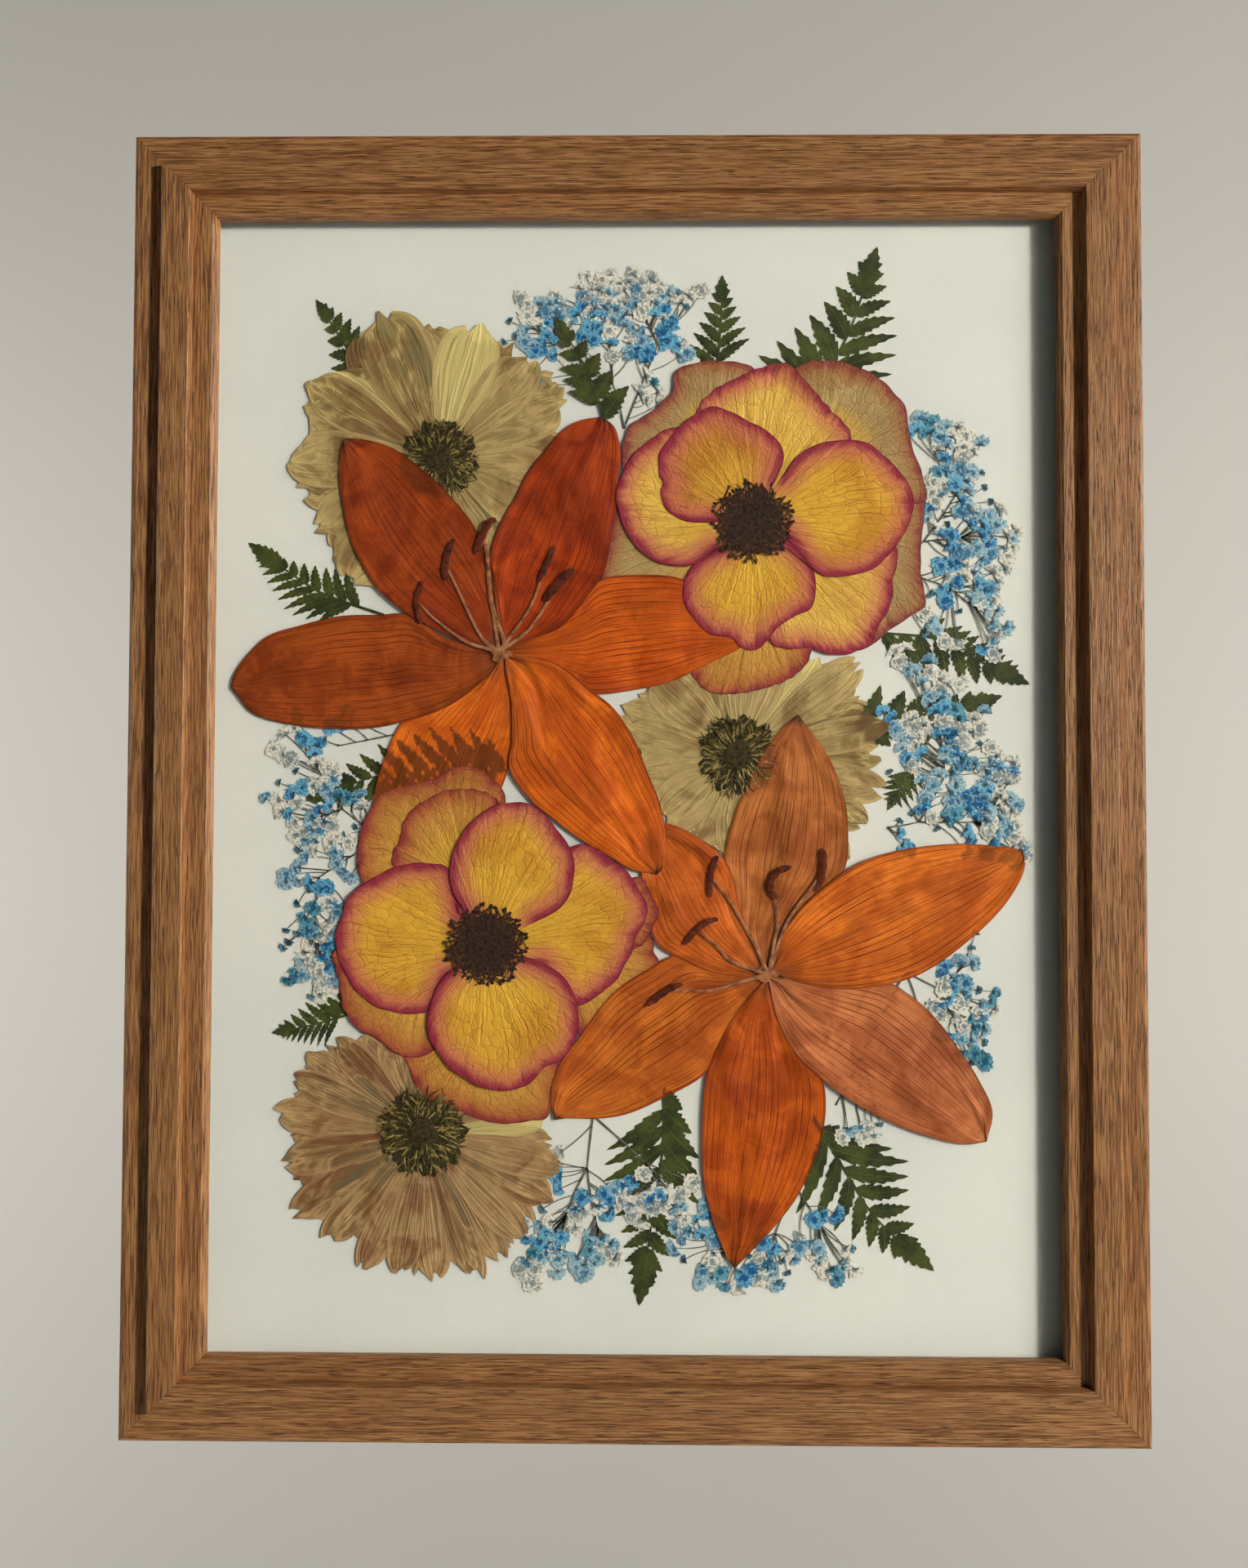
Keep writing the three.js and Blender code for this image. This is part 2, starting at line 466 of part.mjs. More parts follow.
const MIDRIB_W = 1.1;
const LEAFLET_LEAN = 0.55; // how far the leaflet's foot lies behind its tip, per unit of reach
const FERNS = {
  fern_upper_left: { layer: 0, width: 4, midrib: [[-94, 141], [-104, 156], [-113, 170]],
    tips: [[-109, 157], [-108.5, 151], [-108, 146], [-103, 165], [-98.5, 162], [-94, 157]] },
  fern_left: { layer: 0, width: 4, midrib: [[-88, 58], [-107, 64.5], [-117, 70], [-136, 83.5]],
    tips: [[-123, 78], [-115, 75], [-108, 73], [-101, 71], [-130, 70], [-126, 64], [-122, 58],
      [-112, 58]] },
  fern_top: { layer: 3, width: 4, midrib: [[-11, 131], [-17, 144], [-22, 153], [-28.5, 163.5]],
    tips: [[-27, 151], [-26.5, 144], [-24, 138], [-16, 154], [-11, 149], [-7, 143],
      [-1, 138]] },
  fern_top_middle: { layer: 0, width: 4, midrib: [[28.5, 146], [30, 162], [30.5, 178.5]],
    tips: [[26, 170], [24, 165], [21.5, 160], [18.5, 155], [35, 169], [36.5, 165], [38.5, 161],
      [40.5, 155]] },
  fern_top_right: { layer: 0, width: 6, midrib: [[62, 134], [70.5, 149], [77, 163], [85, 188.5]],
    tips: [[73, 178], [68, 171], [61, 164], [54, 158], [44, 151], [88, 176], [90, 168],
      [92, 160], [92, 151], [90, 142]] },
  fern_right: { layer: 0, width: 5, midrib: [[84, 52], [105, 50], [115, 44.5], [137.5, 34]],
    tips: [[96.5, 36], [104, 38], [111, 36], [118, 34], [125.5, 34], [119, 52], [127, 46],
      [134, 41], [109, 57]] },
  fern_lower_left: { layer: 0, width: 4, midrib: [[-99, -80], [-113, -85.5], [-126, -88]],
    tips: [[-119, -81], [-114, -77], [-109, -75], [-104, -73], [-119, -91], [-113.5, -91],
      [-108, -91]] },
  fern_bottom: { layer: 0, width: 6,
    midrib: [[10.5, -106], [10, -128], [6, -155], [2, -181]],
    tips: [[-9, -127], [-11, -137], [-8, -146], [-4, -157], [-3, -166], [17, -115], [22, -127],
      [24, -139], [22, -149], [16, -158], [12, -166]] },
  fern_bottom_right: { layer: 0, width: 6,
    midrib: [[62, -116], [74, -136], [84, -151], [103.5, -168.5]],
    tips: [[95, -130], [95, -140], [96, -149], [98, -157], [84, -124], [55, -149], [64, -152],
      [73, -157], [82, -161], [91, -165]] },
};

// Walks the midrib to the point nearest the tip, then back towards the frond's foot.
function leafletFoot(midrib, tip) {
  const path = new THREE.CurvePath();
  midrib.slice(1).forEach((end, i) => path.add(
    new THREE.LineCurve(new THREE.Vector2(...midrib[i]), new THREE.Vector2(...end))));
  const samples = path.getSpacedPoints(40);
  const gaps = samples.map((point) => point.distanceTo(tip));
  const nearest = gaps.indexOf(Math.min(...gaps));
  const back = (LEAFLET_LEAN * gaps[nearest] * 40) / path.getLength();
  return samples[Math.max(0, Math.round(nearest - back))];
}

function leaflet(midrib, [x, y], width) {
  const tip = new THREE.Vector2(x, y);
  const foot = leafletFoot(midrib, tip);
  const run = tip.clone().sub(foot);
  const aside = new THREE.Vector2(-run.y, run.x).setLength(width / 2);
  const at = (along, across) => foot.clone().addScaledVector(run, along)
    .addScaledVector(aside, across).toArray();
  return plate([at(0, -0.5), at(0.4, -1), at(1, 0), at(0.4, 1), at(0, 0.5)]);
}

for (const [name, { layer, width, midrib, tips }] of Object.entries(FERNS)) {
  const leaflets = tips.map((tip) => leaflet(midrib, tip, width));
  const end = leaflet(midrib.slice(-2), midrib.at(-1), width / 2);
  place(name, join([plate(strip(midrib, MIDRIB_W)), end, ...leaflets]), 'fern', layerZ(layer));
}

// Sprays: thin stems that fork from a root, [x, y, parent], and small florets, [x, y, fork].

const SPRAY_LAYER = 1;
const STEM_W = 0.5;
const STEM_T = 0.1;
const STEM_TAPER = 0.002; // each stem is this much thinner than the one before
const KNOT_R = 0.9; // where a stem forks
const FLORET_R = 2.5;
const SPRAYS = {
  spray_top: { forks: [[-4, 124], [-8, 140, 0], [-28, 154, 1], [-10, 158, 1], [8, 154, 0]],
    florets: [[-37, 159, 2], [-31, 166, 2], [-21, 163, 3], [-12, 168, 3], [0, 168, 3],
      [14, 170, 4], [18, 151, 4]] },
  spray_right_upper: { forks: [[88, 76], [101, 84, 0], [112, 100, 1], [110, 68, 0]],
    florets: [[100, 122.5, 2], [109, 121, 2], [118, 109, 2], [122, 95, 2], [121, 84, 1],
      [130, 81, 1], [119, 71, 3], [123, 60, 3], [108, 50, 3]] },
  spray_right: { forks: [[88, -16], [99, -14, 0], [108, 2, 1], [106, 20, 2], [118, -14, 1]],
    florets: [[98, 38, 3], [108, 33, 3], [113, 22, 3], [118, 10, 2], [123, 3, 2], [97, 7, 2],
      [131, -11, 4], [119, -22, 4], [132, -22, 4]] },
  spray_left: { forks: [[-88, -20], [-102, -10, 0], [-112, 6, 1], [-110, -34, 0], [-111, -56, 3]],
    florets: [[-103, 17.5, 2], [-118, 15, 2], [-121, 2, 2], [-118, -12, 1], [-101, -31, 3],
      [-117, -38, 3], [-104, -47, 3], [-107, -67, 4], [-115, -66, 4]] },
  spray_bottom_left: { forks: [[-14, -116], [-16, -134, 0], [-24, -152, 1], [4, -132, 0]],
    florets: [[-26, -134, 1], [-10, -145, 1], [-32, -154, 2], [-31, -166, 2], [-19, -167, 2],
      [-2, -149, 3], [6, -146, 3], [14, -144, 3]] },
  spray_bottom: { forks: [[56, -140], [49, -156, 0], [32, -162, 1], [65, -154, 0]],
    florets: [[24, -152, 2], [19, -160, 2], [27, -171, 2], [38, -171, 2], [48, -168, 1],
      [56, -163, 3], [66, -165, 3], [75, -162, 3]] },
};

for (const [name, { forks, florets }] of Object.entries(SPRAYS)) {
  const stems = [...forks.slice(1), ...florets].map(([x, y, from], i) => {
    const thickness = STEM_T - i * STEM_TAPER;
    return plate(strip([[x, y], forks[from].slice(0, 2)], STEM_W), thickness)
      .translate(0, 0, (PETAL_T - thickness) / 2);
  });
  const knots = forks.map(([x, y]) => disc(x, y, KNOT_R, PETAL_T, 5));
  const heads = florets.map(([x, y]) => disc(x, y, FLORET_R, PETAL_T, 6));
  place(name, join([...stems, ...knots, ...heads]), 'spray', layerZ(SPRAY_LAYER));
}

picture.position.z = ORIGIN_INSET - FRAME_H / 2;
picture.rotation.x = Math.PI / 2;

const frame = new THREE.Group();
frame.add(picture);

export default frame;
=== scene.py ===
"""Pressed flower frame: lilies, roses, daisies, fern and small sprays under glass in an oak moulding."""

import logging
import math
import random
from dataclasses import dataclass, field
from enum import Enum
from typing import Callable, Sequence

import bpy
import numpy as np
from mathutils import Euler, Matrix, Vector
from mathutils.bvhtree import BVHTree


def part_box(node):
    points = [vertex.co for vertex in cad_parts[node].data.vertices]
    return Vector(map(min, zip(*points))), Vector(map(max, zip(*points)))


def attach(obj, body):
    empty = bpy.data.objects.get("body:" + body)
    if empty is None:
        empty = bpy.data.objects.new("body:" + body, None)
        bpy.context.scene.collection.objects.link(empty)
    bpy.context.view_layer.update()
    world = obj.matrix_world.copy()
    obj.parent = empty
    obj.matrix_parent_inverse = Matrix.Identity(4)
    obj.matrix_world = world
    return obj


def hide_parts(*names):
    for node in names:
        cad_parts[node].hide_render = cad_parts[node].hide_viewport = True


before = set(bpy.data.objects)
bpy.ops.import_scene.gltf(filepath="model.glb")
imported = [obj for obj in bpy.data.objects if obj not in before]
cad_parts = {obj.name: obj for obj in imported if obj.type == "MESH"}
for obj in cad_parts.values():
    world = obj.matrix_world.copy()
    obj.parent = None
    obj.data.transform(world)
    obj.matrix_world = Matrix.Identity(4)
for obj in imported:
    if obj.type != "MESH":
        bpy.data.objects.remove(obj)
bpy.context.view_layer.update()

LOG = logging.getLogger("flower_frame")

Point = tuple[float, float]
Array = np.ndarray
Thing = bpy.types.Object
Socket = bpy.types.NodeSocket

MM = 0.001
CARD_LOW, CARD_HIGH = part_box("mount_card")
MIDDLE_HEIGHT = (CARD_LOW.z + CARD_HIGH.z) / 2
FIRST_LAYER = 9.36  # out from the wall, mm
LAYER_PITCH = 0.19  # from one layer to the next, mm
BACK_PETAL_TURN = 2.9  # the turn at which the roses' extra back petals are laid, just before layer 3
SPECIMEN_LIFT = 0.1  # how far a pressed piece lies over its layer's own height, mm
FULL_TURN = 2 * math.pi
GOLDEN_TURN = 2.39996  # from one thread of a rose's heart to the next, radians


# Measures and lines, in millimetres from the middle of the picture: x right, up, and out from the wall.


def layer_out(layer: float) -> float:
    """Gives how far out from the wall a layer of the pressing lies."""
    return FIRST_LAYER + LAYER_PITCH * layer


def to_world(x: Array, up: Array, out: Array) -> Array:
    """Turns picture millimetres, right, up and out from the wall, into rows of world metres."""
    x, up, out = np.broadcast_arrays(x, up, out)
    return np.stack([x * MM, -out * MM, MIDDLE_HEIGHT + up * MM], axis=-1)


def spaced(line: Array, count: int) -> Array:
    """Spaces stations evenly along a line of points.

    Args:
        line: The points, one row each.
        count: How many stations to give.

    Returns:
        The stations, one row each.
    """
    run = np.concatenate([[0.0], np.cumsum(np.linalg.norm(np.diff(line, axis=0), axis=1))])
    at = np.linspace(0.0, run[-1], count)
    return np.stack([np.interp(at, run, line[:, k]) for k in range(line.shape[1])], axis=1)


def smooth_line(points: Sequence[Sequence[float]] | Array, count: int) -> Array:
    """Draws a smooth line through the points.

    Args:
        points: The points that the line passes through.
        count: How many stations to give.

    Returns:
        Evenly spaced stations on the line.
    """
    given = np.asarray(points, float)
    if len(given) == 2:
        return spaced(given, count)
    ends = np.vstack([2 * given[0] - given[1], given, 2 * given[-1] - given[-2]])
    t = np.linspace(0, 1, 12, endpoint=False)[:, None]
    parts = [
        0.5 * (2 * b + (c - a) * t + (2 * a - 5 * b + 4 * c - d) * t**2 + (3 * b - a - 3 * c + d) * t**3)
        for a, b, c, d in zip(ends, ends[1:], ends[2:], ends[3:])
    ]
    return spaced(np.vstack(parts + [given[-1:]]), count)


def on_line(line: Array, t: Array) -> Array:
    """Reads a line of even stations at the shares `t` of its length."""
    at = np.clip(t, 0, 1) * (len(line) - 1)
    return np.stack([np.interp(at, np.arange(len(line)), line[:, k]) for k in range(line.shape[1])], axis=-1)


def beside(line: Array, t: Array, aside: Array) -> tuple[Array, Array]:
    """Gives places beside a line.

    Args:
        line: Even stations of the line.
        t: The shares of its length.
        aside: How far to its left, in mm.

    Returns:
        The places' x and height.
    """
    mid = on_line(line, t)
    ahead = on_line(line, t + 0.02) - on_line(line, t - 0.02)
    run = np.maximum(np.hypot(ahead[:, 0], ahead[:, 1]), 1e-9)
    return mid[:, 0] - ahead[:, 1] / run * aside, mid[:, 1] + ahead[:, 0] / run * aside


def around(middle: Point, far: Array, turn: Array) -> tuple[Array, Array]:
    """Gives the x and height of places at a distance and heading from a middle."""
    return middle[0] + far * np.cos(turn), middle[1] + far * np.sin(turn)


def soft_step(low: float, high: float, value: Array) -> Array:
    """Rises smoothly from 0 at `low` to 1 at `high`."""
    t = np.clip((value - low) / (high - low), 0, 1)
    return t * t * (3 - 2 * t)


def cap_outline(node: str) -> Array:
    """Reads the outline of a flat CAD plate.

    Args:
        node: The CAD node's name.

    Returns:
        The points of its front edge in order, in picture millimetres.
    """
    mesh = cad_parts[node].data
    co = np.array([v.co for v in mesh.vertices])
    front = co[:, 1].min() + 1e-5
    keys = [tuple(np.round(c[[0, 2]], 6)) for c in co]
    sides: dict[tuple[Point, Point], int] = {}
    for face in mesh.polygons:
        if all(co[i, 1] < front for i in face.vertices):
            ring = [keys[i] for i in face.vertices]
            for a, b in zip(ring, ring[1:] + ring[:1]):
                if (b, a) in sides:
                    del sides[(b, a)]
                else:
                    sides[(a, b)] = 1
    follow = dict(sides.keys())
    here = start = next(iter(follow))
    loop = [start]
    while (here := follow[here]) != start:
        loop.append(here)
    line = np.array(loop)
    return np.stack([line[:, 0] / MM, (line[:, 1] - MIDDLE_HEIGHT) / MM], axis=1)


# Bench work: every piece starts from a primitive, is laid out by setting its vertices, and is welded and turned in edit
# mode.


def pick(*things: Thing) -> None:
    """Selects these things alone, the first one active.

    Args:
        things: The pieces.
    """
    bpy.ops.object.select_all(action="DESELECT")
    for thing in things:
        thing.select_set(True)
    bpy.context.view_layer.objects.active = things[0]


def in_edit_mode(thing: Thing, *steps: Callable[[], object]) -> None:
    """Works on all of a piece's mesh in edit mode.

    Args:
        thing: The piece.
        steps: The operators, called in order with everything selected.
    """
    pick(thing)
    bpy.ops.object.mode_set(mode="EDIT")
    bpy.ops.mesh.select_all(action="SELECT")
    for step in steps:
        step()
    bpy.ops.object.mode_set(mode="OBJECT")


def weld(distance: float = 2e-6) -> Callable[[], object]:
    """Gives the step that merges doubles."""
    return lambda: bpy.ops.mesh.remove_doubles(threshold=distance)


def modify(thing: Thing, kind: str, **settings: object) -> None:
    """Adds a modifier and applies it.

    Args:
        thing: The piece.
        kind: The modifier's type.
        settings: Its settings by name.
    """
    pick(thing)
    modifier = thing.modifiers.new(kind.title(), kind)
    for name, value in settings.items():
        setattr(modifier, name, value)
    bpy.ops.object.modifier_apply(modifier=modifier.name)


def named(name: str) -> Thing:
    """Names the primitive just added.

    Args:
        name: Its name.

    Returns:
        The primitive.
    """
    thing = bpy.context.object
    thing.name = thing.data.name = name
    return thing


def sheet(name: str, across: int, along: int, rule: Callable[[Array, Array], Array]) -> Thing:
    """Adds a grid with its own UV map and lays it by a rule.

    Args:
        name: The piece's name.
        across: Cells from side to side.
        along: Cells from foot to tip.
        rule: Takes the shares across and along, 0 to 1, and gives world points.

    Returns:
        The laid grid.
    """
    bpy.ops.object.select_all(action="DESELECT")
    bpy.ops.mesh.primitive_grid_add(x_subdivisions=across, y_subdivisions=along, size=2, calc_uvs=True)
    thing = named(name)
    co = points_of(thing)
    reshape(thing, rule((co[:, 0] + 1) / 2, (co[:, 1] + 1) / 2))
    thing.data.update()
    return thing


def points_of(thing: Thing) -> Array:
    """Gives a piece's vertices in world metres.

    Args:
        thing: The piece.

    Returns:
        One row per vertex.
    """
    co = np.empty(len(thing.data.vertices) * 3)
    thing.data.vertices.foreach_get("co", co)
    return co.reshape(-1, 3)


def reshape(thing: Thing, points: Array) -> None:
    """Moves a piece's vertices to these places."""
    thing.data.vertices.foreach_set("co", points.ravel())


def ball(name: str, segments: int, rings: int) -> tuple[Thing, Array]:
    """Adds a ball of radius 1 with its poles at front and back.

    Args:
        name: The piece's name.
        segments: Faces round it.
        rings: Faces from pole to pole.

    Returns:
        The ball and its vertices.
    """
    bpy.ops.object.select_all(action="DESELECT")
    bpy.ops.mesh.primitive_uv_sphere_add(
        segments=segments, ring_count=rings, radius=1.0, rotation=(math.pi / 2, 0, 0))
    thing = named(name)
    bpy.ops.object.transform_apply(location=False, rotation=True, scale=False)
    return thing, points_of(thing)


def coat(thing: Thing, finish: bpy.types.Material) -> Thing:
    """Gives a piece its finish."""
    thing.data.materials.append(finish)
    return thing


def mark(thing: Thing, name: str, values: Array) -> None:
    """Writes a number on each vertex, under a name for the finish to read."""
    layer = thing.data.attributes.new(name, "FLOAT", "POINT")
    layer.data.foreach_set("value", np.broadcast_to(values, len(thing.data.vertices)).astype(np.float32))


def face_front(thing: Thing) -> None:
    """Turns a flat sheet's faces to the viewer.

    Args:
        thing: The sheet.
    """
    facing = sum(face.normal.y * face.area for face in thing.data.polygons)
    if facing > 0:
        in_edit_mode(thing, lambda: bpy.ops.mesh.flip_normals())


def thicken(thing: Thing, thickness: float = 0.1) -> None:
    """Gives a flat sheet its wall, behind its front face, in millimetres."""
    face_front(thing)
    modify(thing, "SOLIDIFY", thickness=thickness * MM, offset=-1.0)


def tube(name: str, line: Array, width: Callable[[Array], Array], depth: float, sides: int = 8) -> Thing:
    """Adds a rounded, flattened rod along a line, closed at both ends.

    Args:
        name: The piece's name.
        line: Stations as x, up and out.
        width: Takes the share along and gives the half width in mm.
        depth: The rod's thickness as a share of its width.
        sides: Faces round it.

    Returns:
        The rod.
    """

    def lay(a: Array, b: Array) -> Array:
        """Gives the rod's places round and along its line."""
        half, turn = width(b), FULL_TURN * a
        return to_world(*beside(line, b, half * np.cos(turn)), on_line(line, b)[:, 2] + half * depth * np.sin(turn))

    rod = sheet(name, sides, len(line) - 1, lay)
    in_edit_mode(rod, weld(), lambda: bpy.ops.mesh.normals_make_consistent(inside=False))
    return rod


def twin(template: Thing, move: Matrix) -> Thing:
    """Copies a template with its own mesh and moves the mesh.

    Args:
        template: The piece that repeats.
        move: Where the copy's mesh goes.

    Returns:
        The copy.
    """
    thing = template.copy()
    thing.data = template.data.copy()
    thing.data.transform(move)
    bpy.context.collection.objects.link(thing)
    return thing


def gather(name: str, things: Sequence[Thing]) -> Thing:
    """Joins pieces into one, under one name.

    Args:
        name: The name.
        things: The pieces.

    Returns:
        The whole.
    """
    pick(*things)
    if len(things) > 1:
        bpy.ops.object.join()
    whole = bpy.context.view_layer.objects.active
    whole.name = whole.data.name = name
    return whole


def discard(*things: Thing) -> None:
    """Throws templates away."""
    for thing in things:
        bpy.data.meshes.remove(thing.data)


def show(thing: Thing, slot: str, *nodes: str, angle: float = 60) -> Thing:
    """Smooths a finished piece, seats it in the frame and reports it.

    Args:
        thing: The piece.
        slot: A material slot's name; not used.
        nodes: The CAD nodes it stands for.
        angle: Edges sharper than this stay crisp, in degrees.

    Returns:
        The piece.
    """
    pick(thing)
    bpy.ops.object.shade_smooth_by_angle(angle=math.radians(angle))
    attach(thing, "root")
    if nodes:
        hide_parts(*nodes)
    LOG.info("%s: %d faces", thing.name, len(thing.data.polygons))
    return thing


# Finishes.


def tone(red: float, green: float, blue: float) -> tuple[float, float, float, float]:
    """Turns a mixed paint's 0 to 255 reading into the shader's linear colour."""
    lin = [c / 255 / 12.92 if c <= 10 else ((c / 255 + 0.055) / 1.055) ** 2.4 for c in (red, green, blue)]
    return (lin[0], lin[1], lin[2], 1.0)


Colour = tuple[float, float, float, float]
Stops = Sequence[tuple[float, Colour]]
WHITE = (1.0, 1.0, 1.0, 1.0)
BLACK = (0.0, 0.0, 0.0, 1.0)


class Recipe:
    """A finish mixed node by node into one material."""

    def __init__(self, name: str, roughness: float, **sockets: float | Colour) -> None:
        """Starts a material.

        Args:
            name: The finish's name.
            roughness: The surface's roughness where no node gives one.
            sockets: The shader's other sockets, with _ for a space.
        """
        self.material = bpy.data.materials.new(name)
        self.material.use_nodes = True
        self.tree = self.material.node_tree
        self.shader = self.tree.nodes["Principled BSDF"]
        self.shader.inputs["Roughness"].default_value = roughness
        for socket, value in sockets.items():
            self.shader.inputs[socket.replace("_", " ")].default_value = value

    def node(self, kind: str, inputs: dict[str | int, object] | None = None, **settings: object) -> bpy.types.Node:
        """Adds a node.

        Args:
            kind: The node's type, without its prefix.
            inputs: Values or sockets by input name or number.
            settings: The node's own settings.

        Returns:
            The node.
        """
        made = self.tree.nodes.new("ShaderNode" + kind)
        for name, value in settings.items():
            setattr(made, name, value)
        for key, value in (inputs or {}).items():
            if isinstance(value, bpy.types.NodeSocket):
                self.tree.links.new(value, made.inputs[key])
            else:
                made.inputs[key].default_value = value
        return made

    def place(self, scale: float | Sequence[float] = 1, shift: Sequence[float] = (0, 0, 0),
              uv: bool = False) -> Socket:
        """Gives the piece's own coordinates, stretched.

        Args:
            scale: How many times each axis repeats, per metre or per UV span; one number serves all three.
            shift: Where the pattern starts.
            uv: Whether to follow the piece's UV map.

        Returns:
            The coordinates.
        """
        each = scale if isinstance(scale, Sequence) else (scale,) * 3
        source = self.node("TexCoord").outputs["UV" if uv else "Object"]
        return self.node("Mapping", {"Vector": source, "Scale": each, "Location": shift}).outputs[0]

    def moved(self, where: Socket, by: Socket) -> Socket:
        """Moves coordinates by others."""
        return self.node("VectorMath", {0: where, 1: by}, operation="ADD").outputs[0]

    def stretched(self, where: Socket, scale: Sequence[float]) -> Socket:
        """Stretches coordinates along each axis."""
        return self.node("Mapping", {"Vector": where, "Scale": scale}).outputs[0]

    def across_along(self) -> tuple[Socket, Socket]:
        """Gives the shares across and along a petal, from its UV map."""
        uv = self.node("SeparateXYZ", {0: self.place(uv=True)})
        return uv.outputs[0], uv.outputs[1]

    def noise(self, where: Socket, detail: float = 3, rough: float = 0.55, warp: float = 0) -> Socket:
        """Gives a cloudy pattern with features about one unit wide."""
        return self.node("TexNoise", {"Vector": where, "Scale": 1.0, "Detail": detail, "Roughness": rough,
                                      "Distortion": warp}).outputs["Fac"]

    def cells(self, where: Socket) -> Socket:
        """Gives the distance to the nearest wall of a net of cells."""
        return self.node("TexVoronoi", {"Vector": where, "Scale": 1.0},
                         feature="DISTANCE_TO_EDGE").outputs["Distance"]

    def saw(self, place: Socket, count: float, wander: Socket) -> Socket:
        """Gives how far each place is from the nearest of `count` lines across a span, 0 to a half."""
        return self.away(self.sum("FRACT", self.plus(self.times(place, count), wander)))

    def comb(self, place: Socket, count: float, wander: Socket, thin: float, wide: float) -> Socket:
        """Draws `count` thin lines across a span, pushed about by a cloudy pattern."""
        return self.share(self.saw(place, count, wander), wide, thin)

    def share(self, value: Socket, low: float, high: float, start: float = 0, end: float = 1) -> Socket:
        """Maps `low`..`high` to `start`..`end`, held at the ends."""
        return self.node("MapRange", {"Value": value, "From Min": low, "From Max": high, "To Min": start,
                                      "To Max": end}, interpolation_type="SMOOTHSTEP").outputs["Result"]

    def ramp(self, value: Socket, stops: Stops) -> Socket:
        """Colours a value by stops.

        Args:
            value: The value, 0 to 1.
            stops: Places and colours in order.

        Returns:
            The colour.
        """
        made = self.node("ValToRGB", {"Fac": value})
        elements = made.color_ramp.elements
        while len(elements) < len(stops):
            elements.new(0.5)
        for element, (at, colour) in zip(elements, stops):
            element.position, element.color = at, colour
        return made.outputs["Color"]

    def blend(self, share: Socket | float, one: Socket | Colour, other: Socket | Colour) -> Socket:
        """Mixes two colours."""
        return self.node("Mix", {0: share, 6: one, 7: other}, data_type="RGBA").outputs[2]

    def sum(self, how: str, one: Socket | float, other: Socket | float = 0.0) -> Socket:
        """Works a sum on two values."""
        return self.node("Math", {0: one, 1: other}, operation=how).outputs[0]

    def plus(self, one: Socket, other: Socket | float) -> Socket:
        """Adds."""
        return self.sum("ADD", one, other)

    def less(self, one: Socket, other: Socket | float) -> Socket:
        """Takes the other from the one."""
        return self.sum("SUBTRACT", one, other)

    def times(self, one: Socket, other: Socket | float) -> Socket:
        """Multiplies."""
        return self.sum("MULTIPLY", one, other)

    def away(self, value: Socket, middle: float = 0.5) -> Socket:
        """Gives how far a value is from its middle."""
        return self.sum("ABSOLUTE", self.less(value, middle))

    def swing(self, pattern: Socket, reach: float) -> Socket:
        """Spreads a cloudy pattern to both sides of zero."""
        return self.times(self.less(pattern, 0.5), reach)

    def reading(self, attribute: str) -> Socket:
        """Reads a number marked on the mesh."""
        return self.node("Attribute", attribute_name=attribute).outputs["Fac"]

    def finish(self, colour: Socket, relief: Socket | None = None, depth: float = 0.1,
               rough: Socket | None = None) -> bpy.types.Material:
        """Joins the nodes to the shader.

        Args:
            colour: The base colour.
            relief: The height of the surface, 0 to 1.
            depth: What a height of 1 means, in mm.
            rough: The roughness where it varies.

        Returns:
            The material.
        """
        self.tree.links.new(colour, self.shader.inputs["Base Color"])
        if relief is not None:
            bump = self.node("Bump", {"Height": relief, "Distance": depth * MM, "Strength": 1.0})
            self.tree.links.new(bump.outputs[0], self.shader.inputs["Normal"])
        if rough is not None:
            self.tree.links.new(rough, self.shader.inputs["Roughness"])
        return self.material


class Grain(Enum):
    """The way a rail's grain runs."""

    LEVEL = "level"
    UPRIGHT = "upright"


@dataclass(frozen=True)
class OakSatin:
    """Oak with fine dark pores under a satin varnish."""

    grain: Grain
    light: Colour = tone(222, 164, 106)
    middle: Colour = tone(190, 132, 80)
    dark: Colour = tone(144, 94, 54)
    pore: Colour = tone(72, 42, 22)

    def scale(self, along: float, across: float) -> tuple[float, float, float]:
        """Gives a pattern's repeats per metre along the grain and across it."""
        return (along, across, across) if self.grain is Grain.LEVEL else (across, across, along)

    def make(self) -> bpy.types.Material:
        """Mixes the finish.

        Returns:
            The material.
        """
        mix = Recipe(f"oak_{self.grain.value}", 0.44)
        drift = mix.noise(mix.place(self.scale(4, 34)), 2, 0.5, 0.6)
        figure = mix.noise(mix.place(self.scale(60, 1500), (3, 5, 1)), 3, 0.6, 0.4)
        thread = mix.noise(mix.place(self.scale(75, 1900), (7, 2, 9)), 2, 0.6, 0.3)
        pores = mix.noise(mix.place(self.scale(110, 2600), (1, 8, 4)), 2, 0.5)
        wood = mix.ramp(figure, [(0.38, self.dark), (0.49, self.middle), (0.6, self.light)])
        wood = mix.blend(mix.share(drift, 0.35, 0.7, 0, 0.35), wood, self.middle)
        lines = mix.share(thread, 0.55, 0.66, 0, 0.65)
        wood = mix.blend(lines, wood, self.dark)
        pits = mix.share(pores, 0.6, 0.68, 0, 0.75)
        wood = mix.blend(pits, wood, self.pore)
        height = mix.less(mix.times(figure, 0.5), mix.times(pits, 0.6))
        height = mix.less(height, mix.times(lines, 0.3))
        return mix.finish(wood, height, 0.4, mix.share(pits, 0, 1, 0.42, 0.7))


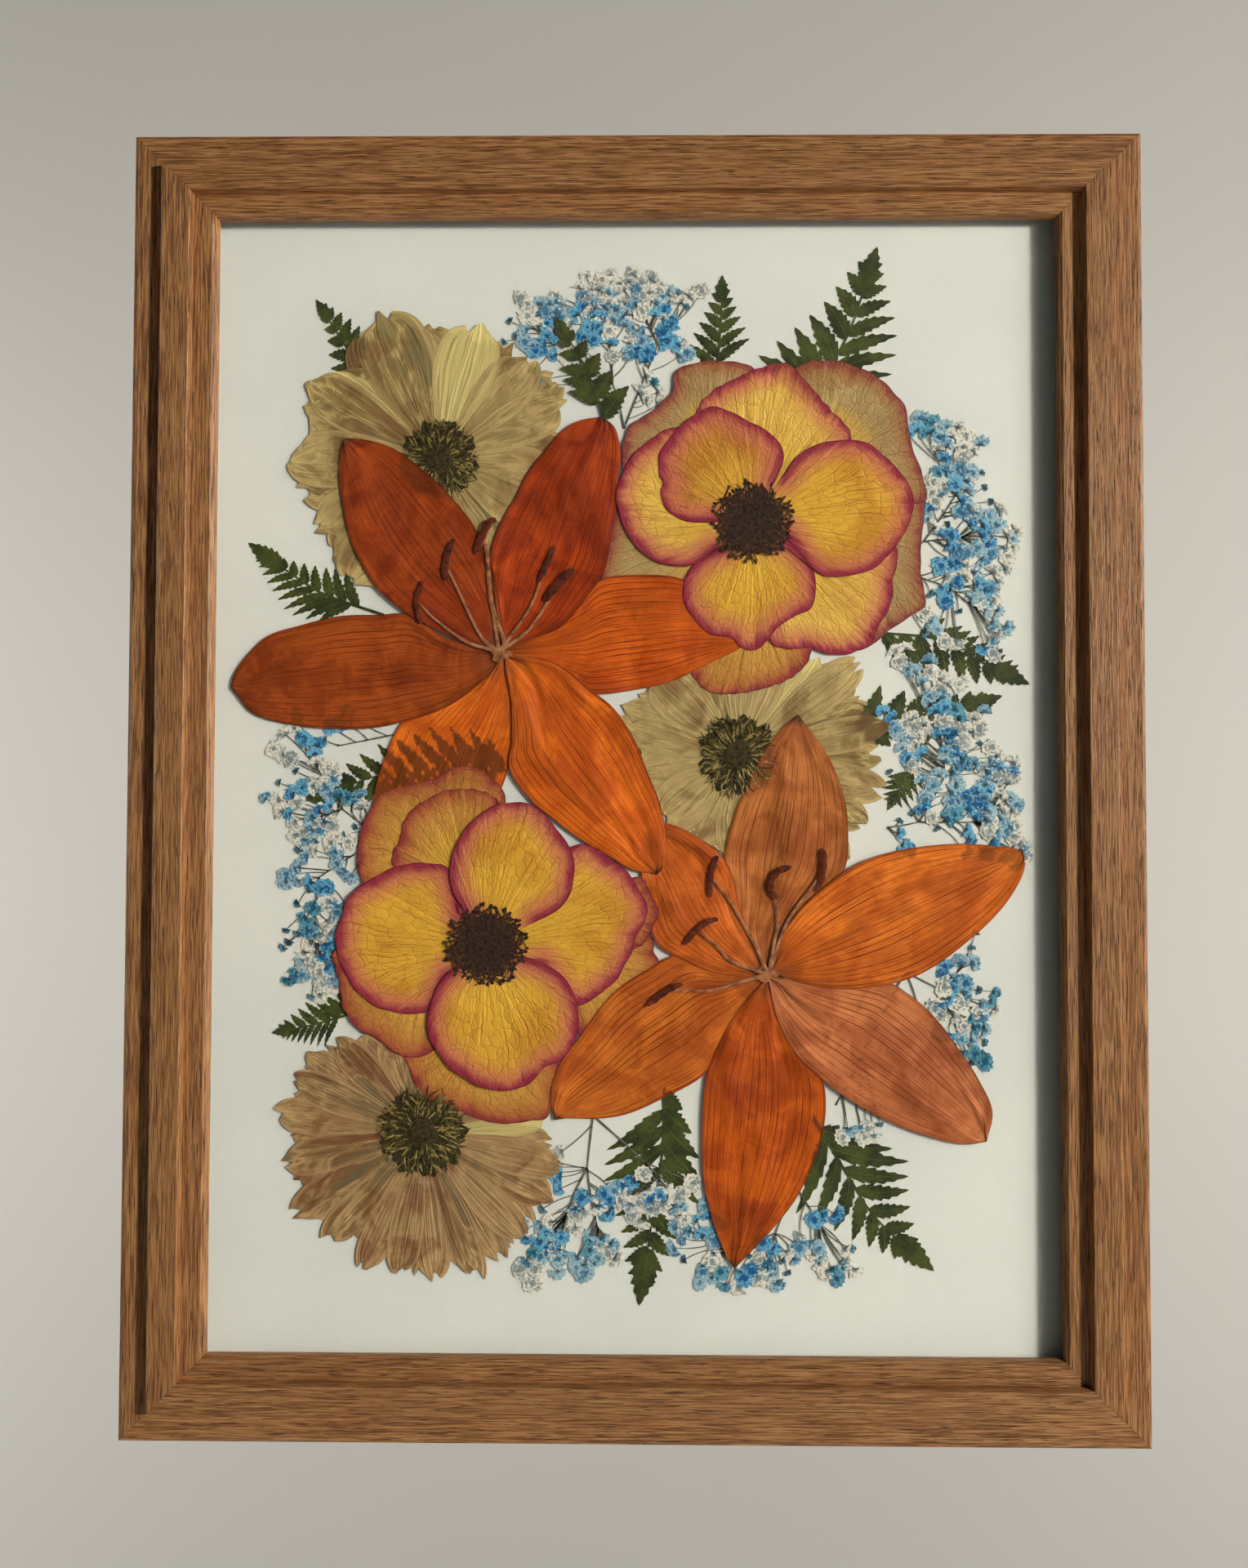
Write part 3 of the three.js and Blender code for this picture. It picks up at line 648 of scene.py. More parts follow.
@dataclass(frozen=True)
class ClearGlass:
    """Float glass with a faint green body."""

    body: Colour = tone(250, 253, 252)

    def make(self) -> bpy.types.Material:
        """Mixes the finish.

        Returns:
            The material.
        """
        mix = Recipe("clear_glass", 0.0, Transmission_Weight=1.0, IOR=1.4)
        haze = mix.noise(mix.place(6), 2)
        return mix.finish(mix.blend(haze, self.body, WHITE))


@dataclass(frozen=True)
class MountCard:
    """Smooth white card, a little cool, with a faint tooth."""

    face: Colour = tone(226, 226, 217)
    cloud: Colour = tone(218, 220, 213)

    def make(self) -> bpy.types.Material:
        """Mixes the finish.

        Returns:
            The material.
        """
        mix = Recipe("white_card", 0.85)
        tooth = mix.noise(mix.place(1800), 2)
        cloud = mix.noise(mix.place(9), 3)
        face = mix.blend(mix.share(cloud, 0.35, 0.65), self.face, self.cloud)
        face = mix.blend(mix.share(tooth, 0.3, 0.7, 0, 0.05), face, BLACK)
        return mix.finish(face, tooth, 0.03)


@dataclass(frozen=True)
class Hardboard:
    """Brown pressed fibre with flecks."""

    face: Colour = tone(150, 112, 76)
    fleck: Colour = tone(104, 72, 46)

    def make(self) -> bpy.types.Material:
        """Mixes the finish.

        Returns:
            The material.
        """
        mix = Recipe("hardboard", 0.8)
        fibre = mix.noise(mix.place((900, 900, 260)), 4, 0.65, 1.2)
        cloud = mix.noise(mix.place(22), 3)
        face = mix.blend(mix.share(fibre, 0.42, 0.66), self.face, self.fleck)
        face = mix.blend(mix.share(cloud, 0.3, 0.7, 0, 0.35), face, self.fleck)
        return mix.finish(face, fibre, 0.12)


@dataclass(frozen=True)
class ZincSteel:
    """Zinc-plated steel with a dull spangle."""

    face: Colour = tone(186, 187, 184)
    dull: Colour = tone(140, 142, 142)

    def make(self) -> bpy.types.Material:
        """Mixes the finish.

        Returns:
            The material.
        """
        mix = Recipe("zinc_steel", 0.35, Metallic=1.0)
        spangle = mix.noise(mix.place(420), 3, 0.6)
        face = mix.blend(mix.share(spangle, 0.35, 0.65), self.face, self.dull)
        return mix.finish(face, spangle, 0.02, mix.share(spangle, 0.3, 0.7, 0.28, 0.5))


@dataclass(frozen=True)
class TepalSkin:
    """A pressed lily tepal: fine dark veins that run from heart to tip over a mottled orange, with painted shade over
    its soft rolls and where a darker piece lies behind it.
    """

    name: str
    bright: Colour = tone(224, 100, 20)
    deep: Colour = tone(184, 66, 10)
    # Dark brown of the fibres and the rim, also used as painted shade over the rolls and the cloud patches.
    dark_tone_and_shade: Colour = tone(122, 40, 8)
    vein: Colour = tone(96, 28, 8)
    tip: Colour = tone(84, 44, 24)
    # Painted shade where a darker piece lies behind the tepal.
    beneath: Colour = tone(96, 48, 16)
    throat: Colour = tone(122, 70, 38)
    shift: float = 0.0

    def make(self) -> bpy.types.Material:
        """Mixes the finish.

        Returns:
            The material.
        """
        mix = Recipe(self.name, 0.55, Specular_IOR_Level=0.12)
        start = (self.shift, self.shift * 0.7, self.shift * 1.3)
        across, along = mix.across_along()
        mottle = mix.noise(mix.place(70, start), 5, 0.62, 0.7)
        cloud = mix.noise(mix.place(24, start), 2, 0.5, 0.4)
        rolls = mix.noise(mix.place((2.2, 2.6, 1), start, uv=True), 2, 0.45, 0.5)
        sway = mix.times(mix.noise(mix.place((2.6, 1.8, 1), start, uv=True), 2, 0.5), 1.5)
        main = mix.comb(across, 18.0, sway, 0.03, 0.11)
        main = mix.times(main, mix.share(mix.noise(mix.place((9, 2.0, 1), start, uv=True), 2), 0.34, 0.56))
        twigs = mix.comb(across, 41.0, mix.times(sway, 1.7), 0.05, 0.17)
        twigs = mix.times(twigs, mix.share(mix.noise(mix.place((14, 3.5, 2), start, uv=True), 2), 0.42, 0.6))
        veins = mix.sum("MAXIMUM", main, mix.times(twigs, 0.6))
        threads = mix.noise(mix.place((150, 9, 1), start, uv=True), 3, 0.65, 0.2)
        skin = mix.blend(mix.share(mottle, 0.4, 0.62, 0, 0.75), self.bright, self.deep)
        # Brown cloud patches: partly the tepal's own colour, partly painted shade of soft undulations.
        skin = mix.blend(mix.share(cloud, 0.52, 0.66, 0, 0.35), skin, self.dark_tone_and_shade)
        # Painted shade: the tepal's low rolls are darkened in colour as well as raised by the bump.
        painted_fold_shade = mix.share(rolls, 0.52, 0.7, 0, 0.36)
        skin = mix.blend(painted_fold_shade, skin, self.dark_tone_and_shade)
        skin = mix.blend(mix.share(threads, 0.5, 0.61, 0, 0.52), skin, self.dark_tone_and_shade)
        skin = mix.blend(mix.times(veins, 0.78), skin, self.vein)
        throat = mix.share(along, 0.14, 0.02, 0, 0.45)
        skin = mix.blend(throat, skin, self.throat)
        # Painted shade: the tepal darkens where a darker piece lies behind it, standing in for that piece showing
        # through.
        shade = mix.share(mix.reading("beneath"), 0.0, 1.0, 0, 0.85)
        skin = mix.blend(shade, skin, self.beneath)
        rim = mix.share(mix.away(across), 0.47, 0.5, 0, 0.7)
        skin = mix.blend(rim, skin, self.dark_tone_and_shade)
        wither = mix.share(mix.plus(along, mix.swing(mottle, 0.12)),
                           0.95, 0.99, 0, 0.9)
        skin = mix.blend(wither, skin, self.tip)
        height = mix.plus(mix.times(rolls, 4.6), mix.times(mottle, 0.5))
        height = mix.less(height, mix.times(veins, 0.06))
        height = mix.less(height, mix.times(threads, 0.1))
        return mix.finish(skin, height, 0.9)


@dataclass(frozen=True)
class RoseSkin:
    """A pressed rose petal: golden, netted with fine veins, and crimson along its rim."""

    name: str
    gold: Colour = tone(218, 166, 56)
    amber: Colour = tone(176, 108, 26)
    blush: Colour = tone(196, 106, 84)
    crimson: Colour = tone(142, 30, 64)
    edge: Colour = tone(98, 20, 36)
    vein: Colour = tone(116, 60, 22)
    # Painted shade where a darker piece lies behind the petal.
    beneath: Colour = tone(134, 80, 28)
    lemon: Colour = tone(222, 176, 58)
    rim: float = 1.0
    shift: float = 0.0

    def make(self) -> bpy.types.Material:
        """Mixes the finish.

        Returns:
            The material.
        """
        mix = Recipe(self.name, 0.55, Specular_IOR_Level=0.15)
        start = (self.shift, self.shift * 0.6, self.shift * 1.4)
        across, along = mix.across_along()
        mottle = mix.noise(mix.place(55, start), 4, 0.6, 0.5)
        rays = mix.noise(mix.place((22, 1.3, 1), start, uv=True), 3, 0.5, 0.2)
        sway = mix.times(mix.noise(mix.place((4, 1.7, 1), start, uv=True), 3, 0.6), 2.2)
        fan = mix.times(mix.saw(across, 19.0, sway), along)
        fork = mix.times(mix.saw(across, 47.0, mix.times(sway, 2.1)), along)
        stir = mix.node("TexNoise", {"Vector": mix.place((14, 8, 1), start, uv=True), "Scale": 1.0}).outputs["Color"]
        net = mix.cells(mix.moved(mix.place((26, 11, 1), start, uv=True), stir))
        body = mix.blend(mix.share(mottle, 0.4, 0.66, 0, 0.5), self.gold, self.amber)
        body = mix.blend(mix.share(rays, 0.5, 0.7, 0, 0.25), body, self.amber)
        body = mix.blend(mix.share(mix.away(along, 0.42), 0.3, 0.05, 0, 0.55), body,
                         self.lemon)
        body = mix.blend(mix.share(along, 0.3, 0.12, 0, 0.4), body, self.amber)
        wander = mix.swing(rays, 5.0)
        wander = mix.plus(wander, mix.swing(mottle, 4.0))
        inset = mix.plus(mix.reading("inset"), wander)
        body = mix.blend(mix.share(inset, 10.5 * self.rim, 2.4 * self.rim, 0, 0.85), body, self.blush)
        body = mix.blend(mix.share(inset, 4.2 * self.rim, 0.6 * self.rim, 0, 0.95), body, self.crimson)
        body = mix.blend(mix.share(mix.reading("inset"), 0.9, 0.1, 0, 0.8), body, self.edge)
        fade = mix.share(mix.noise(mix.place((16, 2.4, 3), start, uv=True), 2), 0.36, 0.62)
        lines = mix.times(mix.share(fan, 0.024, 0.01, 0, 0.8), fade)
        body = mix.blend(lines, body, self.vein)
        forks = mix.times(mix.share(fork, 0.06, 0.025, 0, 0.55), mix.share(along, 0.3, 0.7))
        body = mix.blend(mix.times(forks, fade), body, self.vein)
        body = mix.blend(mix.share(net, 0.035, 0.0, 0, 0.38), body, self.vein)
        # Painted shade: the petal darkens where a darker piece lies behind it, standing in for that piece showing
        # through.
        shade = mix.share(mix.reading("beneath"), 0.0, 1.0, 0, 0.3)
        body = mix.blend(shade, body, self.beneath)
        height = mix.plus(mix.times(mottle, 0.9), mix.times(rays, 0.9))
        height = mix.plus(height, mix.share(net, 0.0, 0.12, 0, 0.12))
        return mix.finish(body, height, 0.7)


@dataclass(frozen=True)
class DaisyRaySkin:
    """A faded ray: cream and khaki, streaked brown along its ribs, with a painted shadow line along its edges and
    painted shade where other rays lie behind it.
    """

    name: str = "daisy_ray"
    cream: Colour = tone(204, 178, 118)
    khaki: Colour = tone(140, 118, 68)
    brown: Colour = tone(122, 88, 50)
    ash: Colour = tone(118, 112, 74)
    # Rust brown of the fine streaks, also used for the painted edge shadow and the painted shade of rays behind.
    rust: Colour = tone(98, 70, 38)
    clear: Colour = tone(224, 208, 134)

    def make(self) -> bpy.types.Material:
        """Mixes the finish.

        Returns:
            The material.
        """
        mix = Recipe(self.name, 0.6, Specular_IOR_Level=0.2)
        own = mix.reading("tint")
        start = mix.node("CombineXYZ", {0: mix.times(own, 37.0), 1: mix.times(own, 11.0)})
        uv = mix.moved(mix.place(uv=True), start.outputs[0])
        across, _ = mix.across_along()
        streaks = mix.noise(mix.stretched(uv, (2.2, 1.8, 1)), 4, 0.55, 0.8)
        ribs = mix.noise(mix.stretched(uv, (11, 1.3, 1)), 3, 0.55, 0.2)
        fine = mix.noise(mix.stretched(uv, (30, 2.4, 1)), 2, 0.6, 0.1)
        stain = mix.noise(mix.place(60, (4, 4, 4)), 5, 0.6, 0.8)
        body = mix.ramp(streaks, [(0.34, self.brown), (0.43, self.khaki), (0.5, self.cream), (0.56, self.khaki),
                                  (0.66, self.ash)])
        body = mix.blend(mix.share(own, 0.2, 0.9, 0.1, 0.7), body, self.cream)
        body = mix.blend(mix.share(ribs, 0.54, 0.7, 0, 0.35), body, self.cream)
        body = mix.blend(mix.share(stain, 0.47, 0.68, 0, 0.75), body, self.brown)
        body = mix.blend(mix.share(stain, 0.44, 0.3, 0, 0.45), body, self.ash)
        body = mix.blend(mix.share(own, 0.93, 0.96, 0, 0.85), body, self.clear)
        body = mix.blend(mix.share(fine, 0.56, 0.66, 0, 0.42), body, self.rust)
        side = mix.away(across)
        body = mix.blend(mix.share(side, 0.34, 0.49, 0, 0.6), body, self.cream)
        # Painted shadow: a thin dark line along the ray's very edge.
        body = mix.blend(mix.share(side, 0.482, 0.498, 0, 0.6), body, self.rust)
        # Painted shade where other rays and pieces lie behind this one.
        body = mix.blend(mix.share(mix.reading("beneath"), 0, 1, 0, 0.95), body, self.rust)
        height = mix.plus(mix.times(ribs, 1.0), mix.times(fine, 0.25))
        return mix.finish(body, height, 0.7)


@dataclass(frozen=True)
class FernSkin:
    """A pressed fern leaflet: dark green, with a paler vein."""

    green: Colour = tone(72, 80, 28)
    dark: Colour = tone(40, 48, 18)
    rib: Colour = tone(104, 104, 50)

    def make(self) -> bpy.types.Material:
        """Mixes the finish.

        Returns:
            The material.
        """
        mix = Recipe("fern_leaf", 0.6, Specular_IOR_Level=0.25)
        across, _ = mix.across_along()
        cloud = mix.noise(mix.place(120), 3, 0.6)
        veins = mix.noise(mix.place((5, 26, 1), uv=True), 2, 0.5, 0.6)
        leaf = mix.blend(mix.share(cloud, 0.35, 0.65), self.green, self.dark)
        leaf = mix.blend(mix.share(veins, 0.5, 0.66, 0, 0.5), leaf, self.dark)
        rib = mix.share(mix.away(across), 0.06, 0.02, 0, 0.25)
        leaf = mix.blend(rib, leaf, self.rib)
        height = mix.plus(mix.times(veins, 0.5), mix.times(rib, 0.5))
        return mix.finish(leaf, height, 0.25)


@dataclass(frozen=True)
class DriedBits:
    """A dry, crumbly surface in two tones: anthers, hearts, stems and cups."""

    name: str
    one: Colour
    other: Colour
    grit: float = 700.0
    depth: float = 0.25

    def make(self) -> bpy.types.Material:
        """Mixes the finish.

        Returns:
            The material.
        """
        mix = Recipe(self.name, 0.75, Specular_IOR_Level=0.2)
        crumb = mix.noise(mix.place(self.grit), 4, 0.7)
        body = mix.ramp(crumb, [(0.36, self.one), (0.62, self.other)])
        return mix.finish(body, crumb, self.depth)


@dataclass(frozen=True)
class FloretSkin:
    """A small petal of a spray, paler along its edges, with painted shade in its pleats."""

    name: str
    heart: Colour
    edge: Colour
    pleat_shade: Colour = tone(34, 48, 56)

    def make(self) -> bpy.types.Material:
        """Mixes the finish.

        Returns:
            The material.
        """
        mix = Recipe(self.name, 0.7, Specular_IOR_Level=0.2)
        crimp = mix.noise(mix.place(900), 3, 0.65)
        puff = mix.noise(mix.place(170), 2)
        across, along = mix.across_along()
        rim = mix.plus(along, mix.swing(crimp, 2.2))
        rim = mix.plus(rim, mix.swing(puff, 1.6))
        body = mix.blend(mix.share(rim, 0.35, 1.05), self.heart, self.edge)
        # Painted shade: thin dark lines in the pleats, strongest towards the heart.
        pleat_shade = mix.comb(across, 9.0, mix.times(crimp, 1.2), 0.03, 0.13)
        body = mix.blend(mix.times(pleat_shade, mix.share(along, 1.0, 0.4, 0, 0.6)), body, self.pleat_shade)
        return mix.finish(body, crimp, 0.3)


# The pressing: what lies beneath darkens what lies above, as painted shade standing in for it showing through the thin
# petals.


@dataclass
class Pressing:
    """The stack of pressed pieces, in the order they were laid."""

    laid: list[tuple[BVHTree, Array, Array, float]] = field(default_factory=list)
    before: float = 3 * MM
    reach: float = 8 * MM

    def lay(self, thing: Thing, darkness: float) -> None:
        """Adds a piece to the stack.

        Args:
            thing: The piece.
            darkness: How strongly it shows through a petal laid over it, as painted shade.
        """
        co = points_of(thing)
        faces = [tuple(face.vertices) for face in thing.data.polygons]
        self.laid.append((BVHTree.FromPolygons([tuple(c) for c in co], faces), co.min(0), co.max(0), darkness))

    def press(self, petal: Thing, finish: bpy.types.Material, darkness: float) -> None:
        """Marks what lies beneath a petal, finishes it and adds it to the stack.

        Args:
            petal: The flat petal.
            finish: Its finish.
            darkness: How strongly it shows through the next petal, as painted shade.
        """
        face_front(petal)
        # Painted shade: the darkness of what lies behind the petal is written on it for its finish.
        mark(petal, "beneath", self.beneath(petal))
        in_edit_mode(petal, weld())
        thicken(petal, 0.07)
        self.lay(coat(petal, finish), darkness)

    def beneath(self, thing: Thing) -> Array:
        """Reads how dark the stack is behind each vertex, for the painted shade of what shows through a petal.

        Args:
            thing: The petal that goes on top.

        Returns:
            The darkness behind each vertex, 0 to 1.
        """
        co = points_of(thing)
        low, high = co.min(0), co.max(0)
        dark = np.zeros(len(co))
        back = Vector((0, 1, 0))
        for tree, small, big, strength in self.laid:
            if small[0] > high[0] or big[0] < low[0] or small[2] > high[2] or big[2] < low[2]:
                continue
            for i, c in enumerate(co):
                if dark[i] >= strength or not (small[0] < c[0] < big[0] and small[2] < c[2] < big[2]):
                    continue
                if tree.ray_cast(Vector((c[0], c[1] - self.before, c[2])), back, self.reach)[0]:
                    dark[i] = strength
        return dark


# Sub-assemblies.


@dataclass
class Moulding:
    """Four mitred oak rails."""

    rails: tuple[tuple[str, Grain], ...] = (
        ("rail_top", Grain.LEVEL), ("rail_bottom", Grain.LEVEL), ("rail_left", Grain.UPRIGHT),
        ("rail_right", Grain.UPRIGHT))

    def dress(self) -> None:
        """Varnishes each rail, its grain along its length."""
        woods = {grain: OakSatin(grain).make() for grain in Grain}
        for rail, grain in self.rails:
            dress_node(rail, woods[grain])


def dress_node(node: str, material: bpy.types.Material) -> None:
    """Gives a CAD node its finish in every slot.

    Args:
        node: The node's name.
        material: The finish.
    """
    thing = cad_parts[node]
    if not thing.material_slots:
        coat(thing, material)
    for slot in thing.material_slots:
        slot.material = material
    LOG.info("%s: dressed in %s", node, material.name)


@dataclass
class Glazing:
    """The glass and the white card behind the flowers."""

    def dress(self) -> None:
        """Finishes the two sheets; the pane lets the light through to the card."""
        dress_node("glass_pane", ClearGlass().make())
        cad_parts["glass_pane"].visible_shadow = False
        dress_node("mount_card", MountCard().make())


@dataclass
class Backing:
    """The hardboard back, its hanger and the flexible points that hold it."""

    point_l: float = 20.0
    point_w: float = 8.0
    point_t: float = 0.8
    seats: tuple[tuple[float, float, float], ...] = (
        (-153.6, 110, 0), (-153.6, -110, 0), (153.6, 110, 180), (153.6, -110, 180),
        (-75, 203.9, 90), (75, 203.9, 90), (-75, -203.9, -90), (75, -203.9, -90))

    def point(self, steel: bpy.types.Material) -> Thing:
        """Models one flat steel point, square where it enters the wood and round at its free end.

        Args:
            steel: The finish.

        Returns:
            The template.
        """
        bpy.ops.object.select_all(action="DESELECT")
        bpy.ops.mesh.primitive_cylinder_add(vertices=32, radius=self.point_w / 2 * MM, depth=self.point_t * MM,
                                            rotation=(math.pi / 2, 0, 0))
        leaf = named("point")
        bpy.ops.object.transform_apply(location=False, rotation=True, scale=False)
        co = points_of(leaf)
        reach = (self.point_l - self.point_w / 2) * MM
        co[:, 0] = np.where(co[:, 0] > 1e-6, co[:, 0] + reach, co[:, 0] * 0.02)
        reshape(leaf, co)
        modify(leaf, "BEVEL", width=0.2 * MM, segments=2, limit_method="ANGLE")
        return coat(leaf, steel)

    def dress(self) -> None:
        """Finishes the board and the hanger, and pushes in the points."""
        steel = ZincSteel().make()
        dress_node("back_board", Hardboard().make())
        dress_node("hanger", steel)
        template = self.point(steel)
        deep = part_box("back_board")[1].y
        for i, (x, up, turn) in enumerate(self.seats):
            seat = Matrix.Translation(to_world(np.float64(x), np.float64(up), np.float64(0)).tolist())
            seat = Matrix.Translation((0, deep + (self.point_t / 2 + 0.05) * MM, 0)) @ seat
            leaf = twin(template, seat @ Matrix.Rotation(math.radians(turn), 4, "Y"))
            leaf.name = leaf.data.name = f"flexible_point_{i + 1}"
            show(leaf, "zinc_steel", angle=35)
        discard(template)


@dataclass
class Frond:
    """A fern frond: leaflets with toothed edges on a curved midrib."""

    name: str
    midrib: Sequence[Point]
    left: Sequence[Point]
    right: Sequence[Point]
    pairs: int
    width: float = 1.0
    layer: float = 0.0
    node: str | None = None
    lean: float = 0.8
    teeth: int = 6
    stations: int = 81

    def leaflet(self, foot: Array, tip: Array, half: float, bend: float, lift: float) -> Thing:
        """Lays one leaflet from its foot to its tip.

        Args:
            foot: Where it joins the midrib.
            tip: Its tip.
            half: Half its greatest width, in mm.
            bend: How far its middle bows forward, in mm.
            lift: Its height in the layer, in mm.

        Returns:
            The leaflet.
        """
        run = tip - foot
        length = float(np.hypot(*run))
        ahead = run / length
        aside = np.array([-ahead[1], ahead[0]])
        cells = 2 * self.teeth

        def lay(a: Array, b: Array) -> Array:
            """Lays the leaflet, with teeth along its edges.

            Args:
                a: The shares across.
                b: The shares along.

            Returns:
                The places.
            """
            body = (b + 0.03) ** 0.42 * (1.0 - b) ** 0.95 / 0.435
            peak = np.round(b * cells).astype(int) % 2 == 1
            edge = np.abs(a - 0.5) > 0.4
            reach = half * body * np.where(edge, np.where(peak, 1.14, 0.84), 1.0)
            forward = np.where(edge & peak, 1.0 * length / cells, 0)
            along = b * length + forward * (1 - b)
            across = (2 * a - 1) * reach + bend * np.sin(math.pi * b)
            spot = foot[None] + ahead[None] * along[:, None] + aside[None] * across[:, None]
            return to_world(spot[:, 0], spot[:, 1],
                            layer_out(self.layer) + SPECIMEN_LIFT + lift - 0.02 * np.abs(2 * a - 1))

        return sheet("leaflet", 4, cells, lay)

    def make(self, green: bpy.types.Material, pressing: Pressing) -> Thing:
        """Builds the frond.

        Args:
            green: The leaf's finish.
            pressing: The stack it is laid on.

        Returns:
            The frond.
        """
        line = smooth_line(self.midrib, self.stations)
        length = float(np.linalg.norm(np.diff(line, axis=0), axis=1).sum())
        pieces: list[Thing] = []
        for side, tips in enumerate((self.left, self.right)):
            given = sorted((int(np.argmin(np.hypot(*(line - np.array(tip)).T))) / (self.stations - 1), tip)
                           for tip in tips)
            at = np.array([t for t, _ in given])
            reach = np.array([np.hypot(*(on_line(line, np.array([t]))[0] - np.array(tip))) for t, tip in given])
            first = max(at[0], 0.02)
            share = np.linspace(0, 1, self.pairs)
            spots = first + (0.9 - first) * (1 - (1 - share) ** 1.2)
            pitch = np.gradient(spots) * length
            for k, t in enumerate(spots):
                t = t + (0.2 if side else -0.2) * pitch[k] / length
                span = float(np.interp(t, np.append(at, 1.0), np.append(reach, 1.0)))
                spine = on_line(line, np.array([t, t + 0.02, t - 0.02]))
                forward = (spine[1] - spine[2]) / max(np.hypot(*(spine[1] - spine[2])), 1e-9)
                out = np.array([-forward[1], forward[0]]) * (1 if side == 0 else -1)
                tip = spine[0] + out * span
                foot = on_line(line, np.array([t - self.lean * span / length]))[0]
                half = min(0.47 * pitch[k] * self.width, 0.34 * span + 0.5)
                pieces.append(self.leaflet(foot, tip, half, (0.06 if side else -0.06) * span, 0.012 * (k % 4)))
        crown = 0.26 * length
        pieces.append(self.leaflet(on_line(line, np.array([0.74]))[0], line[-1], 0.2 * crown + 0.3, 0, 0.05))

        def stalk(a: Array, b: Array) -> Array:
            """Lays the midrib."""
            half = (0.55 - 0.4 * b) * (2 * a - 1)
            return to_world(*beside(line, b, half), layer_out(self.layer) + 0.17)

        rib = sheet("rib", 2, 40, stalk)
        frond = gather(self.name, pieces + [rib])
        in_edit_mode(frond, weld())
        thicken(frond, 0.08)
        pressing.lay(coat(frond, green), 1.0)
        return show(frond, "fern_leaf", *([self.node] if self.node else []))


class Bloom(Enum):
    """The kinds of small floret on a spray."""

    BLUE = "blue"
    PALE = "pale"
    WHITE = "white"
    TEAL = "teal"
    BUD = "bud"


@dataclass
class FloretKit:
    """The spray's small parts, modelled once and copied."""

    petals: dict[Bloom, bpy.types.Material] = field(default_factory=lambda: {
        kind: FloretSkin(f"floret_{kind.value}", heart, edge).make() for kind, heart, edge in (
            (Bloom.BLUE, tone(20, 88, 140), tone(108, 172, 200)),
            (Bloom.PALE, tone(60, 116, 148), tone(158, 186, 194)),
            (Bloom.WHITE, tone(132, 144, 144), tone(228, 222, 206)),
            (Bloom.TEAL, tone(24, 84, 108), tone(98, 156, 174)),
            (Bloom.BUD, tone(30, 62, 76), tone(92, 132, 146)))})
    cup: bpy.types.Material = field(default_factory=lambda: DriedBits(
        "floret_cup", tone(30, 40, 42), tone(62, 80, 78), 900, 0.15).make())
    stem: bpy.types.Material = field(default_factory=lambda: DriedBits(
        "spray_stem", tone(66, 70, 62), tone(112, 114, 98), 500, 0.1).make())
    parts: dict[tuple[Bloom, int], Thing] = field(default_factory=dict)
    ruffles: tuple[tuple[float, int, float], ...] = ((3.5, 11, 0.10), (2.2, 7, 0.22))

    def ruffle(self, kind: Bloom, seed: int) -> Thing:
        """Models one floret, about 7 mm wide, at the middle of the world.

        One in three faces the viewer; the rest are seen from the side, with a dark calyx.

        Args:
            kind: The floret's kind.
            seed: Which of its shapes.

        Returns:
            The template.
        """
        chance = random.Random(17 * seed + len(kind.value))
        layers = []
        side_on = seed % 3 > 0
        spread = 3.5 if side_on else FULL_TURN
        for size, lobes, height in self.ruffles:
            reach = [size * chance.uniform(0.78, 1.12) * MM for _ in range(lobes)]
            spin = chance.uniform(-0.06, 0.06)

            def lay(a: Array, b: Array) -> Array:
                """Lays one ruffle, its rim in lobes.

                Args:
                    a: The shares across.
                    b: The shares along.

                Returns:
                    The places.
                """
                turn = (a - 0.5 + spin) * spread + math.pi / 2
                spot = np.round(a * lobes * 2).astype(int)
                far = np.array(reach)[spot // 2 % lobes] * np.where(spot % 2 == 1, 1.0, 0.84) * b
                lift = height * MM + 0.07 * MM * np.where(spot % 4 == 1, 1.0, -0.5) * b
                return np.stack([far * np.cos(turn), -lift, far * np.sin(turn)], axis=-1)

            layers.append(sheet("ruffle", lobes * 2, 1, lay))
        whole = gather("floret", layers)
        in_edit_mode(whole, weld(1e-6))
        face_front(whole)
        coat(whole, self.petals[kind])
        if not side_on:
            return whole
        points = 7

        def calyx(a: Array, b: Array) -> Array:
            """Lays the calyx as a ragged star.

            Args:
                a: The shares across.
                b: The shares along.

            Returns:
                The places.
            """
            spot = np.round(a * points * 2).astype(int)
            turn = (a - 0.5) * 2.5 + math.pi / 2
            far = np.where(spot % 2 == 1, 1.9 + 0.4 * np.sin(spot * 5 + seed), 0.22) * b * MM
            return np.stack([0.8 * far * np.cos(turn), np.full_like(a, -0.36 * MM), -0.5 * MM + far * np.sin(turn)],
                            axis=-1)

        star = sheet("star", points * 2, 1, calyx)
        in_edit_mode(star, weld(1e-6))
        face_front(star)
        return gather("floret", [whole, coat(star, self.cup)])

    def part(self, kind: Bloom, seed: int) -> Thing:
        """Gives a template, modelling it the first time.

        Args:
            kind: The floret's kind.
            seed: Which of its shapes.

        Returns:
            The template.
        """
        if (kind, seed) not in self.parts:
            self.parts[kind, seed] = self.ruffle(kind, seed)
        return self.parts[kind, seed]

    def close(self) -> None:
        """Throws the templates away."""
        discard(*self.parts.values())


